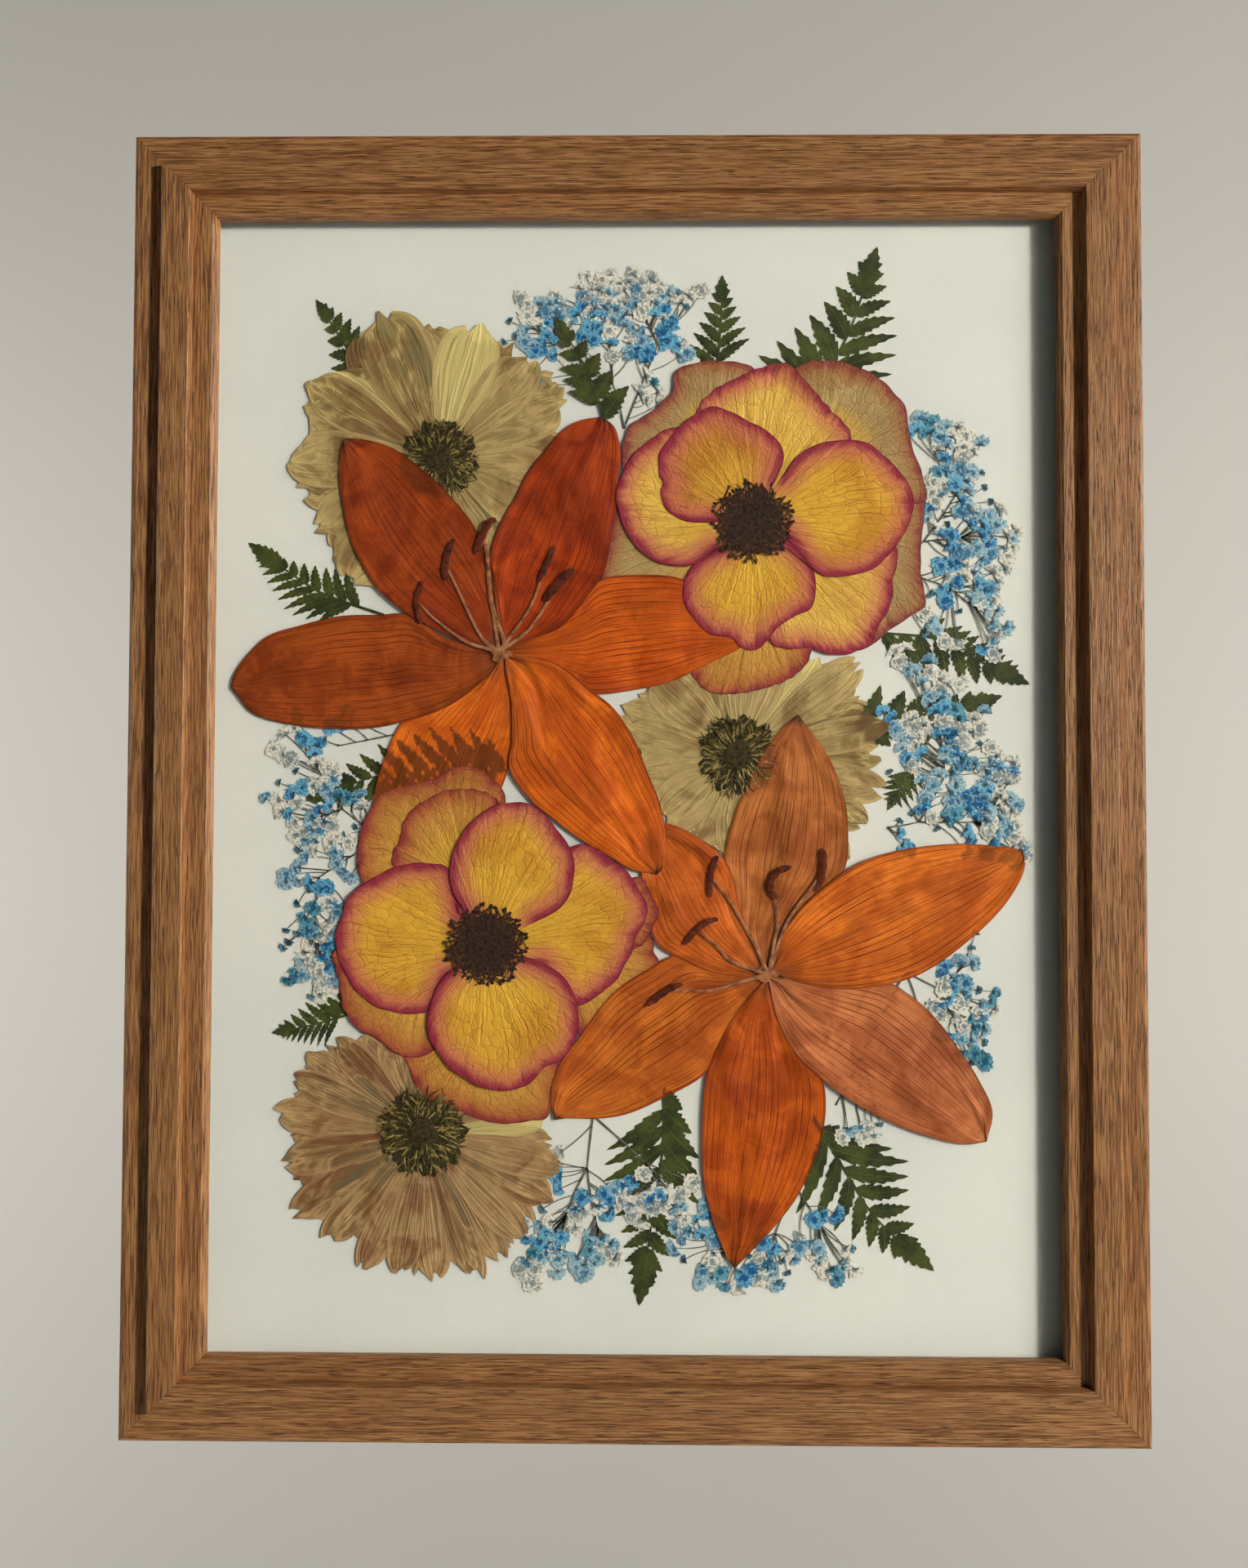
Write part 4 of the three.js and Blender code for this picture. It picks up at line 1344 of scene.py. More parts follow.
@dataclass
class Spray:
    """A spray: thin forking stems, each ending in a small floret."""

    name: str
    forks: Sequence[tuple[float, float, int]]
    florets: dict[Bloom, Sequence[Point]]
    layer: float = 1.0
    node: str | None = None
    stem_half: float = 0.32
    twig_half: float = 0.18

    def stem(self, start: Array, end: Array, half: float, sway: float) -> Thing:
        """Lays one stem with a slight sway.

        Args:
            start: Where it leaves the fork.
            end: Where it ends.
            half: Half its width at the foot, in mm.
            sway: How far its middle bows, in mm.

        Returns:
            The stem.
        """
        run = end - start
        normal = np.array([-run[1], run[0]]) / max(float(np.hypot(*run)), 1e-6)

        def lay(a: Array, b: Array) -> Array:
            """Lays the stem, bowed and tapering.

            Args:
                a: The shares across.
                b: The shares along.

            Returns:
                The places.
            """
            bow = sway * np.sin(math.pi * b) + half * (2 * a - 1) * (1 - 0.35 * b)
            spot = start[None] + run[None] * b[:, None] + normal[None] * bow[:, None]
            return to_world(spot[:, 0], spot[:, 1], layer_out(self.layer) + SPECIMEN_LIFT)

        return sheet("stem", 1, 8, lay)

    def joint(self, spots: Array, end: Array) -> Array:
        """Finds where a floret's stem leaves the forks: some way back from the nearest point.

        Args:
            spots: The forks' places.
            end: The floret's place.

        Returns:
            The stem's foot.
        """
        found = (math.inf, spots[0])
        for i, (_, _, parent) in enumerate(self.forks[1:]):
            run = spots[i + 1] - spots[parent]
            size = max(float(np.hypot(*run)), 1e-6)
            share = float(np.dot(end - spots[parent], run)) / size ** 2
            gap = float(np.hypot(*(end - spots[parent] - run * np.clip(share, 0, 1))))
            if gap < found[0]:
                found = (gap, spots[parent] + run * np.clip(share - 1.1 * gap / size, 0, 1))
        return found[1]

    def make(self, kit: FloretKit, pressing: Pressing) -> Thing:
        """Builds the spray.

        Args:
            kit: The florets to copy.
            pressing: The stack it is laid on.

        Returns:
            The spray.
        """
        chance = random.Random(self.name)
        spots = np.array([fork[:2] for fork in self.forks], float)
        stems = [self.stem(spots[parent], spots[i + 1], self.stem_half, chance.uniform(-0.5, 0.5))
                 for i, (_, _, parent) in enumerate(self.forks[1:])]
        blooms = []
        for kind, places in self.florets.items():
            near_by = [(x + chance.uniform(2.8, 5.0) * math.cos(t), up + chance.uniform(2.8, 5.0) * math.sin(t))
                       for x, up in places for t in (chance.uniform(0, 3.1), chance.uniform(3.1, 6.28))
                       if kind is not Bloom.BUD]
            for i, (x, up) in enumerate([*places, *near_by]):
                mixed = kind if i < len(places) else chance.choice((kind, kind, Bloom.PALE, Bloom.WHITE))
                end = np.array([x, up], float)
                foot = self.joint(spots, end)
                stems.append(self.stem(foot, end, self.twig_half, chance.uniform(-1.2, 1.2)))
                heading = math.atan2(*(end - foot)) + chance.uniform(-0.5, 0.5)
                size = chance.uniform(0.8, 1.12) * (0.5 if kind is Bloom.BUD else 1.0)
                seed = 1 if kind is Bloom.BUD else chance.randrange(6)
                seat = Matrix.Translation(to_world(
                    np.float64(x), np.float64(up), np.float64(layer_out(self.layer) + 0.04)).tolist())
                turn = Matrix.Rotation(heading, 4, "Y")
                blooms.append(twin(kit.part(mixed, seed), seat @ turn @ Matrix.Diagonal((size, 1, size, 1))))
        wires = gather("wires", stems)
        in_edit_mode(wires, weld())
        thicken(wires, 0.08)
        spray = gather(self.name, [coat(wires, kit.stem)] + blooms)
        pressing.lay(spray, 0.55)
        return show(spray, "spray_floret", *([self.node] if self.node else []))


@dataclass
class Daisy:
    """A faded daisy: many ribbed rays, a spiky dark ring and a bumpy core."""

    name: str
    middle: Point
    rays: Sequence[tuple[float, float, float, float]]
    seed: int
    layer: float = 2.0
    ring: float = 15.8
    core: float = 5.2
    broad: float = 1.0
    skin: DaisyRaySkin = DaisyRaySkin()
    foot: float = 3.0
    spikes: int = 330

    def ray(self, degrees: float, length: float, width: float, tint: float, lift: float) -> Thing:
        """Lays one ray.

        Args:
            degrees: Its heading, anticlockwise from the right.
            length: From the middle to its tip, in mm.
            width: Its greatest width, in mm.
            tint: Its own colour, 0 to 1.
            lift: Its height in the layer, in mm.

        Returns:
            The ray.
        """
        chance = random.Random(int(degrees * 7 + length * 3) + self.seed)
        heading = math.radians(degrees)
        bend = chance.uniform(-2.0, 2.0)
        notch = [chance.uniform(0.9, 1.0) for _ in range(5)]

        def lay(a: Array, b: Array) -> Array:
            """Lays the ray, with a notched tip.

            Args:
                a: The shares across.
                b: The shares along.

            Returns:
                The places.
            """
            share = self.foot + (length - self.foot) * b
            tip = np.sqrt(np.clip(1 - (np.clip(b - 0.66, 0, 1) / 0.36) ** 2.6, 0.02, 1))
            wide = width / 2 * (0.28 + 0.72 * soft_step(0.0, 0.66, b)) * tip
            spot = np.minimum(np.floor(a * 4), 3)
            teeth = np.interp(spot + soft_step(0, 1, a * 4 - spot), range(5), notch)
            along = np.where(b > 0.8, share * (1 - (1 - teeth) * (b - 0.8) / 0.2), share)
            aside = (2 * a - 1) * wide + bend * b * b
            x = self.middle[0] + along * math.cos(heading) - aside * math.sin(heading)
            up = self.middle[1] + along * math.sin(heading) + aside * math.cos(heading)
            return to_world(x, up, layer_out(self.layer) + 0.08 + lift + 0.03 * np.cos((2 * a - 1) * 7) * b)

        petal = sheet("ray", 16, 24, lay)
        mark(petal, "tint", np.array(tint))
        return petal

    def heart(self) -> list[Thing]:
        """Models the spiky ring and the core.

        Returns:
            Its pieces.
        """
        chance = random.Random(self.seed)
        base = layer_out(self.layer) + 0.2
        spikes = []
        for _ in range(self.spikes):
            turn = chance.uniform(0, FULL_TURN)
            near = self.core - 1.2 + (self.ring - self.core - 3.0) * chance.random() ** 0.8
            far = min(near + chance.uniform(2.6, 5.0), self.ring)
            twist = chance.uniform(-0.13, 0.13)
            lift = base + 0.1 + 0.16 * chance.random()
            ends = [(self.middle[0] + r * math.cos(turn + twist * k), self.middle[1] + r * math.sin(turn + twist * k),
                     lift) for k, r in enumerate((near, (near + far) / 2, far))]
            half = chance.uniform(0.16, 0.36)
            spikes.append(tube("spike", smooth_line(ends, 5),
                               lambda b, h=half: h * np.sqrt(np.clip(4 * (b + 0.12) * (1 - b) / 1.25, 0, 1)), 0.4, 5))

        def bed(a: Array, b: Array) -> Array:
            """Lays the ring's dark bed: partly the heart's own dark, partly painted shade under the spikes.

            Args:
                a: The shares across.
                b: The shares along.

            Returns:
                The places.
            """
            turn = FULL_TURN * a
            far = b * (self.ring - 2.6) * (1 + 0.05 * np.sin(23 * turn) + 0.07 * np.sin(9 * turn + self.seed))
            return to_world(*around(self.middle, far, turn), base)

        # A dark sheet under the spikes, standing partly for painted shade beneath them.
        floor = sheet("bed", 96, 3, bed)
        in_edit_mode(floor, weld())
        thicken(floor, 0.04)
        spikes.append(floor)
        core, co = ball("core", 40, 24)
        bumps = 0.09 * np.sin(co[:, 0] * 19 + 1.3) * np.sin(co[:, 2] * 17 + 0.4)
        wide = self.core * (1 + 0.06 * np.sin(5 * np.arctan2(co[:, 2], co[:, 0]) + self.seed)) * (1 + bumps)
        reshape(core, to_world(self.middle[0] + co[:, 0] * wide, self.middle[1] + co[:, 2] * wide,
                               base + 0.12 + np.where(co[:, 1] < 0, 0.26, 0.1) * -co[:, 1] * (1 + 3 * bumps)))
        return spikes + [core]

    def make(self, skin: bpy.types.Material, dark: Sequence[bpy.types.Material], pressing: Pressing) -> Thing:
        """Builds the daisy.

        Args:
            skin: The rays' finish.
            dark: The finishes of the ring.
            pressing: The stack it is laid on.

        Returns:
            The daisy.
        """
        chance = random.Random(self.seed * 3 + 1)
        rays = []
        count = len(self.rays)
        order = sorted(self.rays)
        for i, (degrees, length, width, tint) in enumerate(order):
            width *= self.broad
            rays.append(self.ray(degrees, length, width, tint, 0.03 + 0.05 * (i % 2)))
            after = order[(i + 1) % count]
            gap = (after[0] - degrees) % 360
            extra = 1 if gap < 22 else 2
            for k in range(extra):
                share = (k + 1) / (extra + 1)
                rays.append(self.ray(
                    degrees + gap * share + chance.uniform(-2, 2),
                    (length * (1 - share) + after[1] * share) * chance.uniform(0.88, 0.98),
                    width * chance.uniform(0.75, 1.0), chance.uniform(0, 0.9), -0.05 + 0.02 * k))
        own = Pressing(list(pressing.laid))
        for petal in sorted(rays, key=lambda ray: -points_of(ray)[:, 1].mean()):
            face_front(petal)
            # Painted shade: each ray is darkened where earlier rays and pieces lie behind it.
            mark(petal, "beneath", own.beneath(petal) * 0.8)
            own.lay(petal, 0.4)
        petals = gather("rays", rays)
        in_edit_mode(petals, weld(1e-6))
        thicken(petals, 0.05)
        coat(petals, skin)
        pieces = self.heart()
        for i, piece in enumerate(pieces):
            coat(piece, dark[(i * 5 + i // 3) % len(dark)] if i < len(pieces) - 2 else dark[0])
        heart = gather("heart", pieces)
        pressing.lay(heart, 0.6)
        pressing.lay(petals, 0.2)
        return show(gather(self.name, [petals, heart]), "daisy_ray", self.name, angle=50)


@dataclass
class Lily:
    """A lily: six tepals round a heart, with stamens laid over them."""

    name: str
    heart: Point
    layers: dict[str, float]
    skins: dict[str, TepalSkin]
    stamens: Sequence[tuple[Sequence[Point], float, Sequence[Point]]]
    pistil: Sequence[Point] = ()
    stamen_layer: float = 8.0
    throat_layer: float = 2.7
    throat: float = 11.0
    knot: float = 2.9
    stations: int = 25

    def tepal(self, side: str, pressing: Pressing) -> Thing:
        """Lays one tepal between its two edges.

        Args:
            side: Which tepal.
            pressing: The stack it is laid on.

        Returns:
            The tepal.
        """
        node = f"{self.name}_tepal_{side}"
        loop = cap_outline(node)
        away = np.hypot(*(loop - np.array(self.heart)).T)
        tip = int(away.argmax())
        near = away + np.roll(away, -1)
        start = int(near.argmin())
        ring = np.roll(loop, -(start + 1), axis=0)
        tip = (tip - start - 1) % len(loop)
        one, other = ring[: tip + 1], ring[tip:][::-1]
        edges = [smooth_line(np.vstack([self.heart, edge]), 121) for edge in (one, other)]
        base = layer_out(self.layers[side]) + SPECIMEN_LIFT
        phase = sum(map(ord, side))

        def lay(a: Array, b: Array) -> Array:
            """Lays the tepal between its edges, in low waves.

            Args:
                a: The shares across.
                b: The shares along.

            Returns:
                The places.
            """
            left, right = on_line(edges[0], b), on_line(edges[1], b)
            size = np.maximum(np.hypot(*(right - left).T), 0.5)[:, None]
            ease = (1.9 * soft_step(0.0, 0.07, b) * soft_step(0.42, 0.2, b))[:, None] * (right - left) / size
            left, right = left - ease, right + ease
            spot = left * (1 - a[:, None]) + right * a[:, None]
            wave = 0.03 * np.sin(b * 21 + phase + 3 * a) * np.sin(math.pi * a) ** 0.3
            return to_world(spot[:, 0], spot[:, 1], base + wave)

        petal = sheet(node + "_petal", 44, 96, lay)
        pressing.press(petal, self.skins[side].make(), 0.3)
        return show(petal, "lily_tepal", node)

    def cluster(self, anther_skin: bpy.types.Material, pale: bpy.types.Material, tan: bpy.types.Material) -> Thing:
        """Models the stamens, the pistil and the heart they rise from.

        Args:
            anther_skin: The anthers' finish.
            pale: The filaments' finish.
            tan: The heart's finish.

        Returns:
            The cluster.
        """
        out = layer_out(self.stamen_layer) + 0.12
        pieces = []

        def level(points: Sequence[Point], lift: float) -> Array:
            """Draws a smooth line at one height over the tepals."""
            return np.column_stack([smooth_line(points, self.stations), np.full(self.stations, out + lift)])

        for anther, width, filament in self.stamens:
            rod = tube("filament", level(filament, -0.03), lambda b: 0.62 - 0.22 * (1 - b), 0.16, 6)
            head = tube("anther", level(anther, 0.12),
                        lambda b, w=width: w / 2 * np.clip(4.4 * (b + 0.03) * (1.03 - b), 0, 1) ** 0.4
                        * (1 + 0.1 * np.sin(b * 23 + w * 9)), 0.12, 14)
            pieces += [coat(rod, pale), coat(head, anther_skin)]
        if self.pistil:
            rod = tube("pistil", level(self.pistil, 0.02), lambda b: 0.62 + 0.3 * b, 0.14, 6)
            pieces.append(coat(rod, tan))

        def lay(a: Array, b: Array) -> Array:
            """Lays the throat round the heart.

            Args:
                a: The shares across.
                b: The shares along.

            Returns:
                The places.
            """
            turn = FULL_TURN * a
            far = self.throat * b * (1 + 0.12 * np.sin(6 * turn + 1))
            return to_world(*around(self.heart, far, turn), layer_out(self.throat_layer))

        throat = sheet("throat", 48, 4, lay)
        in_edit_mode(throat, weld())
        thicken(throat, 0.05)
        pieces.append(coat(throat, next(iter(self.skins.values())).make()))
        knot, co = ball("knot", 24, 12)
        turn = np.arctan2(co[:, 2], co[:, 0])
        ragged = self.knot * (1 + 0.28 * np.sin(3 * turn + 1) + 0.1 * np.sin(7 * turn))
        reshape(knot, to_world(self.heart[0] + co[:, 0] * ragged * 1.2, self.heart[1] + co[:, 2] * ragged * 0.8,
                               out - 0.03 - 0.1 * co[:, 1]))
        pieces.append(coat(knot, tan))
        return show(gather(f"{self.name}_stamen_cluster", pieces), "dried_anther", f"{self.name}_stamens")


@dataclass
class Rose:
    """A rose pressed open: overlapping petals round a dark heart of dried stamens."""

    name: str
    middle: Point
    layers: dict[str, float]
    skins: dict[str, RoseSkin]
    heart_layer: float
    seed: int
    feet: dict[str, Point] = field(default_factory=dict)
    extras: dict[str, tuple[float, Sequence[Point]]] = field(default_factory=dict)
    disc: float = 10.8
    threads: int = 170
    gather_reach: float = 20.0

    def petal(self, side: str, skin: bpy.types.Material, pressing: Pressing) -> Thing:
        """Lays one petal as a fan from its foot to its rim.

        Args:
            side: Which petal.
            skin: Its finish.
            pressing: The stack it is laid on.

        Returns:
            The petal.
        """
        node = f"{self.name}_petal_{side}"
        extra = self.extras.get(side)
        loop = np.array(extra[1], float) if extra else cap_outline(node)
        layer = extra[0] if extra else self.layers[side]
        foot = np.array(self.feet.get(side, loop[0] if extra else self.middle))
        start = int(np.hypot(*(loop - foot).T).argmin())
        ring = np.roll(loop, -start, axis=0)
        foot, rim = ring[0], smooth_line(ring[1:], 161)
        if float(np.hypot(*(foot - self.middle))) < self.gather_reach:
            foot = np.array(self.middle)
        base = layer_out(layer) + SPECIMEN_LIFT
        chance = random.Random(self.seed * 31 + sum(map(ord, side)))
        waves = [(chance.uniform(5, 17), chance.uniform(0, 6.28), chance.uniform(0.05, 0.16)) for _ in range(3)]
        swell = chance.uniform(0, 6.28)

        def lay(a: Array, b: Array) -> Array:
            """Lays the petal from its foot to its rippled rim.

            Args:
                a: The shares across.
                b: The shares along.

            Returns:
                The places.
            """
            far = on_line(rim, a)
            spot = foot[None] + (far - foot[None]) * b[:, None]
            outward = spot - foot[None]
            size = np.maximum(np.hypot(outward[:, 0], outward[:, 1]), 1e-6)
            ripple = sum(height * np.sin(often * a * 6.28 + begin) for often, begin, height in waves)
            ripple = (ripple - 0.1) * soft_step(0.8, 1.0, b) * soft_step(0, 0.04, a) * soft_step(0, 0.04, 1 - a)
            spot = spot + outward / size[:, None] * ripple[:, None]
            lift = 0.03 * np.sin(a * 17 + swell) * b + 0.03 * soft_step(0.86, 1.0, b)
            return to_world(spot[:, 0], spot[:, 1], base + lift)

        petal = sheet(node + ("" if extra else "_skin"), 84, 40, lay)
        co = points_of(petal)
        here = np.stack([co[:, 0] / MM, (co[:, 2] - MIDDLE_HEIGHT) / MM], axis=1)
        inset = np.min(np.hypot(here[:, None, 0] - rim[None, :, 0], here[:, None, 1] - rim[None, :, 1]), axis=1)
        mark(petal, "inset", inset)
        pressing.press(petal, skin, 0.2)
        return show(petal, "rose_petal", *([] if extra else [node]))

    def heart(self, dark: Sequence[bpy.types.Material]) -> Thing:
        """Models the dark heart: a bumpy disc and a tangle of curled threads with small anthers.

        Args:
            dark: The finishes of the disc, the threads and the anthers.

        Returns:
            The heart.
        """
        chance = random.Random(self.seed)
        base = layer_out(self.heart_layer)
        disc, co = ball("disc", 56, 28)
        angle = np.arctan2(co[:, 2], co[:, 0])
        bumps = np.sin(co[:, 0] * 17 + 1) * np.sin(co[:, 2] * 19 + 2)
        wide = self.disc * (1 + 0.05 * np.sin(7 * angle + self.seed) + 0.04 * np.sin(13 * angle) + 0.02 * bumps)
        reshape(disc, to_world(self.middle[0] + co[:, 0] * wide, self.middle[1] + co[:, 2] * wide,
                               base + 0.07 - 0.06 * co[:, 1] * (1 + 0.2 * bumps)))
        pieces = [coat(disc, dark[0])]
        for i in range(self.threads):
            turn = i * GOLDEN_TURN + chance.uniform(-0.1, 0.1)
            near = chance.uniform(6.5, 10.0)
            far = min(near + chance.uniform(2.5, 6.0), 14.4)
            curl = chance.uniform(-0.5, 0.5)
            ends = []
            for k in range(4):
                r = near + (far - near) * k / 3
                t = turn + curl * (k / 3) ** 2
                ends.append((self.middle[0] + r * math.cos(t), self.middle[1] + r * math.sin(t),
                             base + 0.08 + 0.02 * (i % 3)))
            half = chance.uniform(0.16, 0.3)
            thread = tube("thread", smooth_line(ends, 8),
                          lambda b, h=half: h * np.clip(9 * (b + 0.05) * (1.05 - b), 0, 1), 0.2, 4)
            pieces.append(coat(thread, dark[1 + (i % 2)]))
            if i % 4 != 3:
                end = np.array(ends[-1])
                way = np.array([math.cos(turn + curl * 2), math.sin(turn + curl * 2), 0.0]) * chance.uniform(0.6, 1.1)
                bead = tube("bead", smooth_line([end - way, end, end + way], 6), lambda b, h=chance.uniform(
                    0.4, 0.75): h * np.sqrt(np.clip(4 * b * (1 - b), 0, 1)), 0.12, 5)
                pieces.append(coat(bead, dark[i % len(dark)]))
        return show(gather(f"{self.name}_heart_tangle", pieces), "dried_heart", f"{self.name}_heart")


@dataclass
class Studio:
    """A pale sweep, soft lights and the camera; none of it is part of the frame."""

    film: float = 36.0
    lens: float = 1790.0 * 36 / 1920
    eye: tuple[float, float, float] = (2.9236, -519.557, -17.704)
    tilt: tuple[float, float, float] = (91.8692, -0.1585, 0.7366)

    def sweep(self) -> None:
        """Lays the floor and turns it up into a wall well behind the frame."""
        bpy.ops.object.select_all(action="DESELECT")
        bpy.ops.mesh.primitive_grid_add(x_subdivisions=2, y_subdivisions=60, size=2)
        floor = named("pale_sweep")
        co = points_of(floor)
        length, front, bend, turn = 8.1, 2.1, 1.0, 0.7
        run = (co[:, 1] + 1) / 2 * length - front
        arc = np.clip((run - bend) / turn, 0, math.pi / 2)
        back = np.where(run < bend, run, bend + turn * np.sin(arc))
        rise = turn * (1 - np.cos(arc)) + np.clip(run - bend - turn * math.pi / 2, 0, None)
        reshape(floor, np.stack([co[:, 0] * 6, back, rise - 1.2], axis=1))
        in_edit_mode(floor, lambda: bpy.ops.mesh.normals_make_consistent(inside=False))
        bpy.ops.object.shade_smooth()
        mix = Recipe("pale_floor", 0.9)
        cloud = mix.noise(mix.place(1.4), 2)
        coat(floor, mix.finish(mix.blend(cloud, tone(226, 223, 216), tone(232, 230, 224))))

    def lamp(self, name: str, place: Vector, size: float, power: float, colour: tuple[float, float, float],
             target: Vector = Vector((0.0, 0.0, 0.0))) -> None:
        """Hangs a soft light that faces the picture.

        Args:
            name: Its name.
            place: Where it hangs, in metres from the picture's middle.
            size: The side of its square face, in metres.
            power: Its power in watts.
            colour: Its colour.
            target: What it faces, in metres from the picture's middle.
        """
        light = bpy.data.lights.new(name, "AREA")
        light.size, light.energy, light.color = size, power, colour
        thing = bpy.data.objects.new(name, light)
        bpy.context.collection.objects.link(thing)
        thing.location = place + Vector((0, 0, MIDDLE_HEIGHT))
        thing.rotation_euler = (target - place).to_track_quat("-Z", "Y").to_euler()

    def make(self) -> None:
        """Sets up the sweep, the lights, the room's fill and the camera."""
        self.sweep()
        away = Vector((1.286, -1.0, 0.3)).normalized()
        self.lamp("key_light", away * 4.0, 0.3, 98, (1.0, 0.95, 0.87))
        self.lamp("front_fill", Vector((-2.4, -1.0, 1.2)), 1.2, 0.3, (0.8, 0.9, 1.0))
        for side, power in ((-1, 18), (1, 11.5)):
            self.lamp(f"wall_light_{side}", Vector((2.2 * side, 0.6, 0.0)), 1.0, power, (1.0, 0.98, 0.94),
                      Vector((0.0, 2.0, 0.0)))
        world = bpy.data.worlds.new("room")
        world.use_nodes = True
        sky = world.node_tree.nodes["Background"].inputs
        sky["Color"].default_value, sky["Strength"].default_value = (0.5, 0.7, 1.0, 1.0), 0.02
        bpy.context.scene.world = world
        bpy.context.scene.view_settings.view_transform = "Standard"
        camera = bpy.data.cameras.new("camera")
        camera.lens, camera.sensor_width = self.lens, self.film
        camera.clip_start, camera.clip_end = 0.02, 40.0
        thing = bpy.data.objects.new("camera", camera)
        bpy.context.collection.objects.link(thing)
        x, y, up = (measure * MM for measure in self.eye)
        thing.location = (x, y, MIDDLE_HEIGHT + up)
        thing.rotation_euler = Euler([math.radians(t) for t in self.tilt], "XYZ")
        bpy.context.scene.camera = thing


# The planting: where each piece lies.

FRONDS = (
    Frond("fern_upper_left_frond", [(-94, 141), (-104, 156), (-113, 170)],
          [(-109, 157), (-108.5, 151), (-108, 146)], [(-103, 165), (-98.5, 162), (-94, 157)],
          6, 1.1, node="fern_upper_left"),
    Frond("fern_left_frond", [(-88, 58), (-107, 64.5), (-117, 70), (-136, 83.5)],
          [(-130, 70), (-126, 64), (-122, 58), (-112, 56)], [(-123, 78), (-115, 76), (-108, 75), (-101, 74)],
          10, 0.95, node="fern_left"),
    Frond("fern_top_frond", [(-11, 128), (-17, 144), (-22, 153), (-28.5, 163.5)],
          [(-27, 151), (-26.5, 144), (-24, 138)], [(-16, 154), (-11, 149), (-7, 143), (-1, 138)], 6, 1.0, 3,
          node="fern_top"),
    Frond("fern_top_middle_frond", [(28.5, 144), (30, 162), (30.5, 178.5)],
          [(26, 170), (24, 165), (21.5, 160), (18.5, 155)], [(35, 169), (36.5, 165), (38.5, 161), (40.5, 155)],
          7, 1.0, node="fern_top_middle"),
    Frond("fern_top_right_frond", [(62, 134), (70.5, 149), (77, 163), (85, 188.5)],
          [(73, 178), (68, 171), (61, 164), (54, 158), (44, 151)],
          [(88, 176), (90, 168), (92, 160), (92, 151), (90, 142)], 8, 1.0, node="fern_top_right"),
    Frond("fern_right_frond", [(84, 52), (105, 50), (115, 44.5), (137.5, 34)],
          [(109, 57), (119, 52), (127, 46), (134, 41)], [(96.5, 36), (104, 36), (111, 35), (118, 34), (125.5, 34)],
          9, 1.0, node="fern_right"),
    Frond("fern_lower_left_frond", [(-94, -80), (-113, -85.5), (-126, -88)],
          [(-119, -91), (-113.5, -92), (-108, -93)], [(-119, -81), (-114, -77), (-109, -75), (-104, -73)], 8, 0.95,
          node="fern_lower_left"),
    Frond("fern_bottom_frond", [(10.5, -106), (10, -128), (6, -155), (2, -181)],
          [(15, -158), (12, -166), (22, -149), (24, -139), (22, -127), (17, -115)],
          [(-9, -127), (-11, -137), (-8, -146), (-4, -157), (-3, -166)], 10, 0.9, node="fern_bottom"),
    Frond("fern_bottom_right_frond", [(62, -116), (74, -136), (84, -151), (103.5, -168.5)],
          [(95, -130), (95, -140), (96, -149), (98, -157), (84, -124)],
          [(55, -149), (64, -152), (73, -157), (82, -161), (91, -165)], 9, 1.0, node="fern_bottom_right"),
    Frond("fern_small_right", [(78, 18), (92, 22), (105, 24), (116, 26), (128, 30)],
          [(87, 34), (93, 32), (98, 31), (108, 30), (118, 32)], [(88, 12), (98, 14), (108, 18), (118, 22)], 7),
    Frond("fern_small_middle", [(103, 16), (96, 4), (88, -10)],
          [(100, -3), (96, -8)], [(88, 2), (86, -2)], 5),
    Frond("fern_small_left", [(-46, 3), (-64, 4), (-82, 2.5), (-92, 1), (-103, -3), (-116, -7)],
          [(-60, -8), (-80, -9), (-96, -12), (-103, -11), (-108, -9)],
          [(-50, 14), (-57, 18), (-65, 19.5), (-73, 19), (-80, 17), (-88, 13.5), (-95, 10), (-101, 6), (-106, 3)],
          12, 0.78),
)

